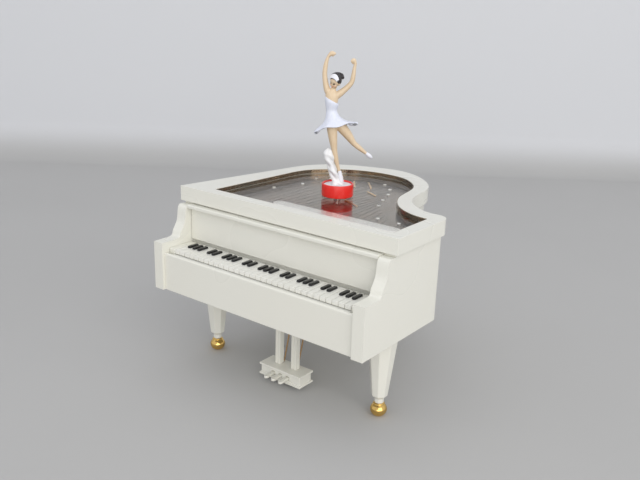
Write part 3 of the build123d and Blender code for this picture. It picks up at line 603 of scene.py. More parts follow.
def eased(stops: Sequence[Sequence[float]], count: int) -> list[list[float]]:
    """Return count rows on a smooth run through the given rows, ends included."""
    rows = []
    last = len(stops) - 1
    for index in range(count):
        reach = index * last / (count - 1)
        near = min(int(reach), last - 1)
        part = reach - near
        before, start, end, after = (stops[max(0, min(last, near + shift))] for shift in (-1, 0, 1, 2))
        rows.append([
            0.5 * (
                2 * b + (c - a) * part + (2 * a - 5 * b + 4 * c - d) * part**2
                + (3 * b - 3 * c + d - a) * part**3
            )
            for a, b, c, d in zip(before, start, end, after)
        ])
    return rows


def ring_of(
    work: bmesh.types.BMesh, sides: int, capped: bool, matrix: Matrix
) -> tuple[list[bmesh.types.BMVert], Edges]:
    """Add a ring of vertices.

    Args:
        work: The mesh to add to.
        sides: The vertices round it.
        capped: Whether a face closes it.
        matrix: Its place, turn and size.

    Returns:
        Its vertices and its edges.
    """
    ring = bmesh.ops.create_circle(work, cap_ends=capped, segments=sides, radius=1.0, matrix=matrix)["verts"]
    members = set(ring)
    edges = [edge for edge in {e for v in ring for e in v.link_edges} if set(edge.verts) <= members]
    return ring, edges


def absorb(work: bmesh.types.BMesh, part: bmesh.types.BMesh) -> None:
    """Add a second working mesh to the first, using the second up."""
    mesh = bpy.data.meshes.new("part")
    part.to_mesh(mesh)
    part.free()
    work.from_mesh(mesh)
    bpy.data.meshes.remove(mesh)


def loft(
    work: bmesh.types.BMesh, stops: Sequence[Sequence[float]], wide: Vector, sides: int = 20, rings: int = 24
) -> None:
    """Add a closed limb through rows of x, y, z, half width and half thickness in metres.

    Args:
        work: The mesh to add to.
        stops: The rows.
        wide: The direction that the width is measured along, as near as the limb allows.
        sides: The faces round it.
        rings: The rings along it.
    """
    rows = eased(stops, rings)
    places = [Vector(row[:3]) for row in rows]
    previous: Edges = []
    for index, row in enumerate(rows):
        ahead = places[min(index + 1, rings - 1)] - places[max(index - 1, 0)]
        ahead.normalize()
        flat = ahead.cross(wide).normalized()
        side = flat.cross(ahead).normalized()
        turn = Matrix((side * row[3], flat * row[4], ahead)).transposed().to_4x4()
        _, edges = ring_of(work, sides, index in (0, rings - 1), Matrix.Translation(places[index]) @ turn)
        if previous:
            bmesh.ops.bridge_loops(work, edges=previous + edges)
        previous = edges


def blob(
    work: bmesh.types.BMesh, centre: Vector, turn: Matrix, radii: Triple, detail: int = 20
) -> list[bmesh.types.BMVert]:
    """Add an ellipsoid.

    Args:
        work: The mesh to add to.
        centre: Its centre.
        turn: A 3x3 matrix whose columns are its axes.
        radii: Its radii along those axes, in millimetres.
        detail: The faces round it.

    Returns:
        Its vertices.
    """
    size = Matrix.Diagonal((*(radius * MM for radius in radii), 1.0))
    return bmesh.ops.create_uvsphere(
        work, u_segments=detail, v_segments=detail * 2 // 3, radius=1.0,
        matrix=Matrix.Translation(centre) @ turn.to_4x4() @ size,
    )["verts"]


def fused(work: bmesh.types.BMesh, voxel: float, passes: int) -> bmesh.types.BMesh:
    """Fuse overlapping closed shapes into one skin.

    Args:
        work: The shapes, which are used up.
        voxel: The skin's cell, in metres.
        passes: How many times it is smoothed.

    Returns:
        The fused skin.
    """
    mesh = bpy.data.meshes.new("fusing")
    work.to_mesh(mesh)
    work.free()
    holder = bpy.data.objects.new("fusing", mesh)
    bpy.context.scene.collection.objects.link(holder)
    remesh = holder.modifiers.new("fuse", "REMESH")
    remesh.mode = "VOXEL"
    remesh.voxel_size = voxel
    skin = bmesh.new()
    evaluated = holder.evaluated_get(bpy.context.evaluated_depsgraph_get())
    skin.from_mesh(bpy.data.meshes.new_from_object(evaluated))
    bpy.data.objects.remove(holder)
    for _ in range(passes):
        bmesh.ops.smooth_vert(
            skin, verts=skin.verts, factor=0.5, use_axis_x=True, use_axis_y=True, use_axis_z=True
        )
    bmesh.ops.recalc_face_normals(skin, faces=skin.faces)
    return skin


def piece(
    work: bmesh.types.BMesh, name: str, slot: Slot, body: Body, replaces: Sequence[str],
    angle: float = 40.0, even: bool = False, material: bpy.types.Material | None = None,
) -> bpy.types.Object:
    """Turn a working mesh into a finished piece.

    Args:
        work: The mesh, which is used up.
        name: The piece's name.
        slot: The record's slot for its finish.
        body: The body it rides on.
        replaces: The CAD nodes it stands for.
        angle: The angle in degrees above which an edge stays crisp.
        even: Whether large flats keep their own shading.
        material: A material to use in place of the slot's own.

    Returns:
        The piece.
    """
    mesh = bpy.data.meshes.new(name)
    work.to_mesh(mesh)
    work.free()
    mesh.shade_smooth()
    mesh.set_sharp_from_angle(angle=math.radians(angle))
    mesh.materials.append(material or PALETTE.of(slot))
    made = bpy.data.objects.new(name, mesh)
    bpy.context.scene.collection.objects.link(made)
    if even:
        weighted = made.modifiers.new("even", "WEIGHTED_NORMAL")
        weighted.keep_sharp = True
    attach(made, body.value)
    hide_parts(*replaces)
    LOG.info("%s: %d faces on %s", name, len(mesh.polygons), body.value)
    return made


def box_of(node: str) -> tuple[Vector, Vector]:
    """Return a node's lowest and highest corners."""
    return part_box(node)


def middle_of(node: str) -> Vector:
    """Return the middle of a node's box, at its foot."""
    low, high = box_of(node)
    return Vector(((low.x + high.x) / 2, (low.y + high.y) / 2, low.z))


# ---------------------------------------------------------------- case and furniture
@dataclass
class RoundedMouldings:
    """Hard mouldings whose CAD edges are rounded, each with its rounding in millimetres."""

    roundings: dict[str, float] = field(default_factory=lambda: {
        "case_shell": 0.5, "bottom_plate": 0.3, "keyslip": 0.25, "key_bed": 0.2, "key_blocks": 0.25,
        "lid_frame": 0.75, "lyre_box": 0.35, "lyre_posts": 0.2, "leg_left": 0.4,
        "leg_right": 0.4, "leg_rear": 0.4,
    })

    def build(self) -> None:
        """Round each moulding."""
        for node, radius in self.roundings.items():
            work = welded(node)
            round_edges(work, radius * MM)
            piece(work, f"{node}_moulding", Slot.IVORY, Body.CASE, [node], even=True)


@dataclass
class Fallboard:
    """The hinged key cover with its rounded lip."""

    rounding: float = 0.3

    def build(self) -> None:
        """Round the cover."""
        work = welded("fallboard")
        round_edges(work, self.rounding * MM)
        piece(work, "fallboard_cover", Slot.IVORY, Body.FALLBOARD, ["fallboard"], even=True)


@dataclass
class Keyboard:
    """White keys as separate caps on one comb, and short glossy sharps."""

    count: int = 32
    octave: int = 7
    sharps: tuple[int, ...] = (1, 2, 3, 5, 6)
    gap: float = 0.3
    cap: float = 3.0
    sink: float = 0.4
    clearance: float = 0.045
    comb_rounding: float = 0.1
    white_rounding: float = 0.28
    black_rounding: float = 0.24
    black_sink: float = 0.2
    sharp_width: float = 2.3
    taper: float = 0.86

    def block(
        self, work: bmesh.types.BMesh, low: Vector, high: Vector, rounding: float, crown: float = 1.0
    ) -> None:
        """Add a rounded block.

        Args:
            work: The mesh to add to.
            low: Its lowest corner.
            high: Its highest corner.
            rounding: Its edge rounding in millimetres.
            crown: Its top's width as a share of its foot's.
        """
        size = high - low
        middle = (low + high) / 2
        made = bmesh.ops.create_cube(
            work, size=1.0, matrix=Matrix.Translation(middle) @ Matrix.Diagonal((*size, 1.0))
        )["verts"]
        for corner in made:
            if corner.co.z > middle.z:
                corner.co.x = middle.x + (corner.co.x - middle.x) * crown
                corner.co.y = middle.y + (corner.co.y - middle.y) * (0.5 + crown / 2)
        edges = list({edge for corner in made for edge in corner.link_edges})
        bmesh.ops.bevel(
            work, geom=edges, offset=rounding * MM, offset_type="OFFSET", segments=2, profile=0.5, affect="EDGES",
            clamp_overlap=True, material=-1,
        )

    def build(self) -> None:
        """Model both rows of keys."""
        self.whites()
        self.blacks()

    def whites(self) -> None:
        """Set the white caps on their comb, which reaches forward to the keyslip."""
        low, high = box_of("white_keys")
        pitch = (high.x - low.x) / self.count
        work = bmesh.new()
        foot = Vector((low.x, box_of("keyslip")[1].y + self.clearance * MM, low.z))
        self.block(work, foot, Vector((high.x, high.y, high.z - self.cap * MM)), self.comb_rounding)
        for key in range(self.count):
            left = low.x + key * pitch + self.gap * MM / 2
            start = Vector((left, low.y, high.z - (self.cap - self.sink) * MM))
            end = Vector((left + pitch - self.gap * MM, high.y, high.z))
            self.block(work, start, end, self.white_rounding)
        piece(work, "white_key_caps", Slot.WHITE_KEY, Body.CASE, ["white_keys"], even=True)

    def blacks(self) -> None:
        """Set a sharp over each joint between white keys that has one."""
        row_low, row_high = box_of("white_keys")
        pitch = (row_high.x - row_low.x) / self.count
        low, high = box_of("black_keys")
        work = bmesh.new()
        half = self.sharp_width * MM / 2
        places = {sharp % self.octave for sharp in self.sharps}
        for key in range(1, self.count):
            if key % self.octave in places:
                across = row_low.x + key * pitch
                start = Vector((across - half, low.y, low.z - self.black_sink * MM))
                self.block(work, start, Vector((across + half, high.y, high.z)), self.black_rounding, self.taper)
        piece(work, "black_key_caps", Slot.BLACK_KEY, Body.CASE, ["black_keys"])


@dataclass
class Pedals:
    """Three flat pedals with rounded toes."""

    rounding: float = 0.35

    def build(self) -> None:
        """Round the pedals."""
        work = welded("pedals")
        round_edges(work, self.rounding * MM)
        piece(work, "pedal_row", Slot.IVORY, Body.CASE, ["pedals"], even=True)


@dataclass
class BallFeet:
    """Gilt ball feet with a turned collar."""

    nodes: tuple[str, ...] = ("foot_left", "foot_right", "foot_rear")
    profile: Profile = (
        (0.0, 0.0), (2.3, 0.0), (2.75, 0.12), (3.3, 0.5), (4.05, 1.3), (4.6, 2.4), (4.82, 3.3), (4.86, 3.75),
        (4.82, 4.2), (4.55, 5.1), (4.0, 6.0), (3.35, 6.65), (2.95, 6.9), (2.9, 7.02), (3.12, 7.12), (3.26, 7.32),
        (3.26, 7.55), (3.1, 7.76), (2.8, 7.86), (2.7, 8.0), (0.0, 8.0),
    )

    def build(self) -> None:
        """Turn each foot."""
        for node in self.nodes:
            piece(lathe(self.profile, middle_of(node)), f"{node}_ball", Slot.GILT, Body.CASE, [node], angle=50.0)


@dataclass
class Harp:
    """The plate's bright work under the pane: domed bosses, the pin rail, the struts and the liner."""

    dome: Profile = ((0.0, 0.0), (1.25, 0.0), (1.25, 0.18), (1.1, 0.36), (0.75, 0.47), (0.35, 0.5), (0.0, 0.5))
    dome_steps: int = 24
    strut_rounding: float = 0.12
    rail_rounding: float = 0.15
    rail_end: float = 2.0
    pins: int = 42
    pin_rows: int = 3
    row_gap: float = 0.22
    pin_radius: float = 0.38
    pin_taper: float = 0.7
    pin_tall: float = 0.3
    pin_lift: float = 0.1

    def build(self) -> None:
        """Model the bright work."""
        self.bosses()
        self.rail()
        work = welded("plate_struts")
        round_edges(work, self.strut_rounding * MM, 2)
        piece(work, "plate_strut_bars", Slot.TRIM, Body.CASE, ["plate_struts"], even=True)
        piece(welded("window_liner"), "window_liner_strip", Slot.PLATE, Body.CASE, ["window_liner"], even=True)

    def bosses(self) -> None:
        """Turn a dome over each boss of the CAD node."""
        work = welded("plate_bosses")
        spots: list[Vector] = []
        for face in work.faces:
            centre = face.calc_center_median()
            if face.normal.z < -0.9 and all((centre - spot).length > MM for spot in spots):
                spots.append(centre)
        work.free()
        domes = bmesh.new()
        for spot in spots:
            absorb(domes, lathe(self.dome, spot, self.dome_steps))
        piece(domes, "plate_boss_domes", Slot.SILVER, Body.CASE, ["plate_bosses"], angle=50.0)

    def rail(self) -> None:
        """Round the rail and set its pins on it, stepping from row to row."""
        low, high = box_of("pin_rail")
        work = welded("pin_rail")
        round_edges(work, self.rail_rounding * MM, 2)
        start = low.x + self.rail_end * MM
        run = high.x - low.x - 2 * self.rail_end * MM
        middle = (low.y + high.y) / 2
        for index in range(self.pins):
            aside = (index % self.pin_rows - 1) * (high.y - low.y) * self.row_gap
            spot = Vector((start + run * index / (self.pins - 1), middle + aside, high.z + self.pin_lift * MM))
            bmesh.ops.create_cone(
                work, cap_ends=True, segments=10, radius1=self.pin_radius * MM,
                radius2=self.pin_radius * self.pin_taper * MM, depth=self.pin_tall * MM,
                matrix=Matrix.Translation(spot),
            )
        piece(work, "pin_rail_bar", Slot.SILVER, Body.CASE, ["pin_rail"], even=True)


@dataclass
class WindingKey:
    """The butterfly key under the case."""

    rounding: float = 0.35

    def build(self) -> None:
        """Round the key."""
        work = welded("winding_key")
        round_edges(work, self.rounding * MM)
        piece(work, "winding_key_wings", Slot.BRASS, Body.WINDER, ["winding_key"], even=True)


# ---------------------------------------------------------------- turntable and dancer
@dataclass
class Turntable:
    """The red cup and its white filling."""

    wall: float = 1.0

    def build(self) -> None:
        """Turn both parts."""
        low, high = box_of("turntable_cup")
        radius = (high.x - low.x) / 2 / MM
        tall = (high.z - low.z) / MM
        inner = radius - self.wall
        cup = lathe(
            ((0.0, 0.0), (radius - 0.8, 0.0), (radius - 0.35, 0.06), (radius - 0.08, 0.3), (radius, 0.7),
             (radius, tall - 0.5), (radius - 0.1, tall - 0.15), (radius - 0.35, tall), (inner + 0.25, tall),
             (inner + 0.05, tall - 0.15), (inner, tall - 0.4), (inner, tall - 1.6), (0.0, tall - 1.6)),
            middle_of("turntable_cup"), 96,
        )
        piece(cup, "red_cup", Slot.RED, Body.TURNTABLE, ["turntable_cup"], angle=60.0)
        insert_low, insert_high = box_of("turntable_insert")
        top = (insert_high.z - low.z) / MM
        rim = (insert_high.x - insert_low.x) / 2 / MM - 0.06
        filling = lathe(
            ((0.0, top - 1.4), (rim, top - 1.4), (rim, top - 0.25), (rim - 0.3, top - 0.03), (rim - 0.8, top),
             (rim * 0.6, top - 0.1), (rim * 0.3, top + 0.04), (0.0, top + 0.1)),
            middle_of("turntable_cup"), 64,
        )
        piece(filling, "white_filling", Slot.WHITE, Body.TURNTABLE, ["turntable_insert"], angle=60.0)


@dataclass
class Dancer:
    """The painted dancer on one pointed foot, with its lace-like support."""

    turn: float = math.atan2(0.6056, 0.7958)
    head_spot: Triple = (-3.75, 176.8, -0.6)
    head_size: float = 1.07
    gaze: Triple = (-0.62, -0.28, -0.73)
    crown: Triple = (0.06, 1.0, -0.30)
    eye_paint: Colour = (0.02, 0.015, 0.015)
    brow_paint: Colour = (0.07, 0.04, 0.03)
    lip_paint: Colour = (0.66, 0.12, 0.10)
    cheek_paint: Colour = (0.86, 0.50, 0.38)
    cloth_thick: float = 0.34
    hem_rounding: float = 0.11
    dress_sides: int = 120
    stem_sides: int = 48
    coil_turns: float = 2.3
    coil_steps: int = 29
    band_steps: int = 14

    def point(self, side: float, height: float, depth: float = 0.0) -> Vector:
        """Return a point, or a direction, given along its own plane, upwards and away behind it."""
        across = side * math.cos(self.turn) - depth * math.sin(self.turn)
        along = side * math.sin(self.turn) + depth * math.cos(self.turn)
        return Vector((across, along, height)) * MM

    def row(self, side: float, height: float, depth: float, wide: float, thick: float) -> list[float]:
        """Return a loft row from millimetres."""
        return [*self.point(side, height, depth), wide * MM, thick * MM]

    @property
    def across(self) -> Vector:
        """Return the direction along its own plane."""
        return self.point(1.0, 0.0).normalized()

    @property
    def head_turn(self) -> Matrix:
        """Return the head's right, front and rise as columns."""
        front = self.point(*self.gaze).normalized()
        right = front.cross(self.point(*self.crown).normalized()).normalized()
        rise = right.cross(front).normalized()
        return Matrix((right, front, rise)).transposed()

    def on_head(self, right: float, front: float, rise: float) -> Vector:
        """Return a point given from the head's centre in its own directions, in millimetres."""
        return self.point(*self.head_spot) + self.head_turn @ (Vector((right, front, rise)) * self.head_size * MM)

    def lump(
        self, work: bmesh.types.BMesh, spot: Triple, radii: Triple, detail: int = 20
    ) -> list[bmesh.types.BMVert]:
        """Add a rounded lump at a spot on the head and return its vertices."""
        return blob(work, self.on_head(*spot), self.head_turn, tuple(r * self.head_size for r in radii), detail)

    def build(self) -> None:
        """Model every part."""
        self.legs()
        self.shoes()
        self.upper_body()
        self.dress()
        self.hair()
        self.headband()
        self.support()

    def legs(self) -> None:
        """Loft the standing leg and the lifted leg."""
        work = bmesh.new()
        loft(work, [
            self.row(-4.9, 155.0, -0.6, 3.3, 3.0), self.row(-4.7, 150.5, -0.8, 3.2, 3.0),
            self.row(-3.9, 144.0, -0.8, 2.6, 2.6), self.row(-3.0, 138.2, -0.7, 1.9, 1.95),
            self.row(-2.5, 135.8, -0.6, 1.62, 1.75), self.row(-1.7, 131.6, -0.2, 1.55, 1.85),
            self.row(-0.6, 127.6, -0.1, 1.15, 1.35), self.row(0.5, 124.2, 0.0, 0.88, 1.0),
            self.row(0.9, 122.6, 0.0, 0.85, 0.95),
        ], self.across, 24, 44)
        loft(work, [
            self.row(-2.6, 154.2, 0.6, 2.8, 2.8), self.row(0.8, 150.6, 0.9, 3.15, 3.0),
            self.row(5.0, 145.8, 1.3, 2.65, 2.6), self.row(7.8, 142.0, 1.6, 1.95, 1.95),
            self.row(9.2, 140.4, 1.8, 1.65, 1.7), self.row(12.2, 138.0, 2.3, 1.5, 1.75),
            self.row(15.0, 135.8, 2.8, 1.1, 1.25), self.row(16.9, 134.3, 3.1, 0.85, 0.95),
            self.row(17.5, 133.8, 3.2, 0.8, 0.9),
        ], self.across, 24, 44)
        skin = fused(work, 0.2 * MM, 6)
        piece(skin, "dancer_bare_legs", Slot.SKIN, Body.TURNTABLE, ["dancer_legs"], angle=180.0)

    def shoes(self) -> None:
        """Loft the two ballet shoes, with blocked toes."""
        work = bmesh.new()
        loft(work, [
            self.row(0.75, 124.1, 0.0, 1.05, 1.15), self.row(0.95, 122.9, 0.0, 1.25, 1.35),
            self.row(1.35, 120.8, -0.1, 1.45, 1.6), self.row(1.75, 118.8, -0.2, 1.6, 1.6),
            self.row(2.0, 117.3, -0.25, 1.55, 1.45), self.row(2.15, 116.0, -0.3, 1.2, 1.15),
        ], self.across, 20, 24)
        loft(work, [
            self.row(16.3, 134.8, 3.0, 0.95, 1.05), self.row(17.1, 134.2, 3.1, 1.1, 1.2),
            self.row(18.3, 133.3, 3.3, 1.25, 1.3), self.row(19.3, 132.5, 3.5, 1.1, 1.1),
            self.row(20.2, 131.8, 3.7, 0.6, 0.65),
        ], self.across, 20, 24)
        shoes = fused(work, 0.17 * MM, 3)
        piece(shoes, "ballet_shoes", Slot.SHOE, Body.TURNTABLE, ["dancer_shoes"], angle=180.0)

    def arm(
        self, work: bmesh.types.BMesh, rows: Sequence[list[float]], wrist: Vector, palm: Vector, tip: Vector
    ) -> None:
        """Loft an arm and give it a soft hand.

        Args:
            work: The mesh to add to.
            rows: The arm's loft rows.
            wrist: Where the hand starts.
            palm: The middle of the palm.
            tip: Where the longest finger ends.
        """
        loft(work, rows, self.across, 18, 40)
        loft(work, [
            [*wrist, 0.8 * MM, 0.8 * MM], [*palm, 1.35 * MM, 1.0 * MM],
            [*(palm * 0.45 + tip * 0.55), 1.2 * MM, 0.75 * MM], [*tip, 0.55 * MM, 0.4 * MM],
        ], UP, 16, 16)
        thumb = palm + (tip - palm) * 0.45 - UP * 1.7 * MM
        loft(work, [[*palm, 0.6 * MM, 0.55 * MM], [*thumb, 0.4 * MM, 0.36 * MM]], UP, 12, 6)

    def upper_body(self) -> None:
        """Fuse the chest, neck, arms and head, and paint the face."""
        work = bmesh.new()
        loft(work, [
            self.row(-5.3, 162.0, 0.0, 2.9, 2.3), self.row(-5.3, 165.5, 0.0, 3.5, 2.7),
            self.row(-5.3, 168.4, 0.0, 3.9, 2.7), self.row(-5.2, 170.6, 0.1, 3.6, 2.2),
            self.row(-4.8, 172.2, 0.1, 1.9, 1.6), self.row(-4.4, 173.6, 0.0, 1.35, 1.35),
            self.row(-4.0, 175.4, -0.1, 1.3, 1.35),
        ], self.across, 28, 40)
        self.arm(work, [
            self.row(-5.8, 169.2, 0.2, 1.9, 1.8), self.row(-7.9, 171.4, 0.2, 2.0, 1.9),
            self.row(-9.1, 175.0, 0.2, 1.7, 1.7), self.row(-9.8, 179.0, 0.2, 1.5, 1.5),
            self.row(-10.0, 182.0, 0.1, 1.42, 1.42), self.row(-9.7, 185.6, 0.0, 1.36, 1.36),
            self.row(-9.0, 189.0, -0.1, 1.08, 1.08), self.row(-8.3, 191.0, -0.1, 0.86, 0.86),
            self.row(-7.7, 192.0, -0.1, 0.86, 0.86),
        ], self.point(-8.2, 191.3, -0.1), self.point(-6.5, 192.9, -0.2), self.point(-3.9, 192.9, -0.5))
        self.arm(work, [
            self.row(-4.6, 167.8, 0.2, 1.9, 1.8), self.row(-2.0, 169.3, 0.3, 2.15, 2.0),
            self.row(1.4, 172.0, 0.4, 1.8, 1.75), self.row(4.2, 174.7, 0.4, 1.55, 1.55),
            self.row(6.0, 177.2, 0.4, 1.42, 1.45), self.row(6.7, 180.8, 0.3, 1.32, 1.35),
            self.row(7.1, 184.6, 0.2, 1.06, 1.08), self.row(7.5, 187.0, 0.2, 0.86, 0.86),
            self.row(7.6, 188.0, 0.2, 0.86, 0.86),
        ], self.point(7.6, 187.2, 0.2), self.point(6.7, 189.3, 0.0), self.point(4.9, 188.6, -0.4))
        self.head(work)
        piece(
            fused(work, 0.19 * MM, 4), "dancer_bare_shoulders", Slot.SKIN, Body.TURNTABLE, ["dancer_body"],
            angle=180.0, material=FINISHES[Slot.SKIN].marked("skin_paint_face", self.face()),
        )

    def face(self) -> PaintedMarks:
        """Return the painted eyes, brows, lips and cheeks."""
        spots = []
        for across, height, half_width, half_height, paint in (
            (1.1, -0.15, 0.66, 0.36, self.eye_paint), (1.15, 0.62, 0.78, 0.16, self.brow_paint),
            (0.0, -2.05, 0.55, 0.22, self.lip_paint), (1.55, -1.2, 0.60, 0.45, self.cheek_paint),
        ):
            for side in (-1, 1) if across else (1,):
                spots.append((side * across, height, half_width, half_height, paint))
        columns = (self.head_turn.col[axis].copy() for axis in range(3))
        return PaintedMarks(self.point(*self.head_spot), *columns, spots=tuple(spots))

    def head(self, work: bmesh.types.BMesh) -> None:
        """Add a calm, generic doll's head."""
        turn = self.head_turn
        skull = self.lump(work, (0, -0.25, 0.6), (2.75, 3.1, 3.1), 28)
        centre = self.on_head(0, 0, 0)
        for vertex in skull:
            local = turn.transposed() @ (vertex.co - centre)
            if local.z < -1.0 * MM:
                local.x *= 1.0 - 0.10 * min(1.0, (-1.0 * MM - local.z) / (1.6 * MM))
            vertex.co = centre + turn @ local
        self.lump(work, (0, 0.75, -1.7), (1.75, 1.75, 1.9))
        self.lump(work, (0, 1.35, -3.0), (0.8, 0.75, 0.62), 14)
        self.lump(work, (0, 2.72, -0.85), (0.34, 0.5, 0.62), 12)
        self.lump(work, (0, 2.55, -0.25), (0.26, 0.42, 0.7), 12)
        self.lump(work, (0, 2.25, -2.05), (0.55, 0.42, 0.3), 12)
        for side in (-1, 1):
            self.lump(work, (side * 2.7, -0.35, -0.5), (0.35, 0.6, 0.85), 12)
            self.lump(work, (side * 1.25, 1.55, -1.2), (0.95, 0.85, 0.95), 14)

    def dress(self) -> None:
        """Loft the strapless bodice and the flared, fluted skirt as one cloth with a thick hem."""
        work = bmesh.new()
        rows = eased([
            (-5.3, 166.3, 0.0, 4.05, 2.95, 0.0, -0.5), (-5.3, 165.0, -0.1, 4.1, 3.1, 0.0, -0.3),
            (-5.25, 163.0, -0.1, 3.75, 2.9, 0.0, -0.12), (-5.3, 160.4, 0.0, 3.25, 2.6, 0.0, 0.0),
            (-5.0, 158.4, 0.0, 3.6, 2.9, 0.05, 0.05), (-4.1, 155.5, 0.0, 4.95, 3.9, 0.25, 0.12),
            (-3.1, 152.9, 0.0, 7.6, 5.2, 0.65, 0.17), (-2.55, 150.5, 0.0, 12.4, 6.6, 1.0, 0.225),
        ], 32)
        previous: Edges = []
        for side, height, depth, wide, thick, flute, lean in rows:
            ring, edges = ring_of(work, self.dress_sides, False, Matrix.Identity(4))
            for vertex in ring:
                angle = math.atan2(vertex.co.y, vertex.co.x)
                fold = math.cos(angle * 5 + 1.9) * 0.7 + math.cos(angle * 9 + 0.4) * 0.3
                swell = 1.0 + 0.06 * flute * fold
                drop = flute * 0.55 * math.cos(angle * 5 + 1.108)
                x, y = math.cos(angle) * wide * swell, math.sin(angle) * thick * swell
                front = max(0.0, -math.sin(angle))
                vertex.co = self.point(side + x, height + x * lean - drop + flute * 1.35 * front, depth + y)
            if previous:
                bmesh.ops.bridge_loops(work, edges=previous + edges)
            previous = edges
        bmesh.ops.recalc_face_normals(work, faces=work.faces)
        bmesh.ops.solidify(work, geom=work.faces[:], thickness=self.cloth_thick * MM)
        rim = [edge for edge in work.edges if edge.calc_face_angle(0.0) > math.radians(50)]
        bmesh.ops.bevel(
            work, geom=rim, offset=self.hem_rounding * MM, offset_type="OFFSET", segments=2, profile=0.5,
            affect="EDGES", clamp_overlap=True, material=-1,
        )
        self.folds(work)
        # Painted shade: two grey spots at the skirt's far tips stand for the shaded inside of the rolled flutes.
        marks = PaintedMarks(
            self.point(0.0, 150.0, 4.0), self.across, self.point(0.0, 0.0, -1.0).normalized(), UP,
            spots=((8.75, 2.75, 1.5, 0.85, (0.30, 0.31, 0.33)), (-13.9, -3.15, 1.05, 0.55, (0.24, 0.25, 0.28))),
        )
        cloth = FINISHES[Slot.DRESS].marked("dress_paint_tip_shade", marks)
        piece(work, "fluted_dress", Slot.DRESS, Body.TURNTABLE, ["dancer_dress"], angle=180.0, material=cloth)

    def folds(self, work: bmesh.types.BMesh) -> None:
        """Roll the cloth over at the skirt's two far tips."""
        loft(work, [
            self.row(5.2, 152.3, -0.4, 0.5, 0.5), self.row(7.0, 152.5, -0.4, 0.95, 1.0),
            self.row(8.9, 152.8, -0.4, 1.2, 1.3), self.row(10.2, 153.1, -0.4, 0.8, 0.9),
            self.row(10.7, 153.2, -0.4, 0.3, 0.4),
        ], UP, 20, 20)
        loft(work, [
            self.row(-11.8, 148.2, -0.4, 0.4, 0.4), self.row(-13.0, 147.3, -0.4, 0.7, 0.8),
            self.row(-14.3, 146.7, -0.4, 0.75, 0.8), self.row(-15.1, 146.4, -0.4, 0.3, 0.35),
        ], UP, 20, 16)

    def hair(self) -> None:
        """Fuse the combed cap, its front wave and the coiled bun."""
        work = bmesh.new()
        cap = bmesh.new()
        self.lump(cap, (0, -0.75, 0.85), (3.1, 3.35, 3.4), 32)
        cut = self.on_head(0, 1.15, 0.9)
        facing = self.head_turn @ Vector((0.0, 1.0, -0.78)).normalized()
        bmesh.ops.bisect_plane(
            cap, geom=[*cap.verts, *cap.edges, *cap.faces], plane_co=cut, plane_no=facing, clear_outer=True
        )
        rim = [edge for edge in cap.edges if edge.is_boundary]
        bmesh.ops.edgeloop_fill(cap, edges=rim)
        absorb(work, cap)
        loft(work, [
            self.row(-6.0, 180.2, -1.3, 0.5, 0.6), self.row(-5.1, 180.9, -0.9, 0.95, 1.0),
            self.row(-3.6, 181.2, -0.2, 1.25, 1.4), self.row(-1.8, 180.9, 0.6, 1.6, 1.7),
            self.row(-0.8, 180.3, 1.3, 1.6, 1.6),
        ], UP, 16, 24)
        bun = self.point(-0.75, 179.9, 1.6)
        way = (bun - self.on_head(0, -0.5, 0.4)).normalized()
        flat = way.cross(UP).normalized()
        basis = Matrix((flat, way.cross(flat), way)).transposed()
        blob(work, bun, basis, (2.1, 2.1, 1.5), 20)
        coil = []
        for index in range(self.coil_steps + 1):
            reach = index / self.coil_steps
            angle = reach * math.tau * self.coil_turns
            radius = 1.95 - 1.35 * reach
            place = Vector((math.cos(angle) * radius, math.sin(angle) * radius, 0.4 + 1.1 * reach))
            spot = bun + basis @ (place * MM)
            coil.append([*spot, 0.58 * MM, 0.58 * MM])
        loft(work, coil, way, 10, 60)
        hair = fused(work, 0.17 * MM, 2)
        piece(hair, "combed_hair", Slot.HAIR, Body.TURNTABLE, ["dancer_hair"], angle=180.0)

    def headband(self) -> None:
        """Loft the white headpiece across the front of the hair, edged with small beads."""
        work = bmesh.new()
        turn = self.head_turn
        rows = []
        beads = []
        for index in range(self.band_steps + 1):
            angle = math.radians(-62 + 118 * index / self.band_steps)
            swell = math.cos(angle * 1.25)
            spot = self.on_head(3.15 * math.sin(angle), 1.1 + 0.2 * swell, 0.95 + 3.0 * math.cos(angle))
            rows.append([*spot, (0.35 + 1.15 * swell) * MM, 0.4 * MM])
            beads.append(self.on_head(3.3 * math.sin(angle), 2.0 + 0.3 * swell, 0.45 + 2.95 * math.cos(angle)))
        loft(work, rows, turn @ Vector((0.0, 0.75, -0.66)).normalized(), 16, 48)
        for bead in beads[1:-1]:
            blob(work, bead, turn, (0.36, 0.36, 0.36), 8)
        piece(work, "beaded_headpiece", Slot.BAND, Body.TURNTABLE, ["dancer_headband"], angle=60.0)

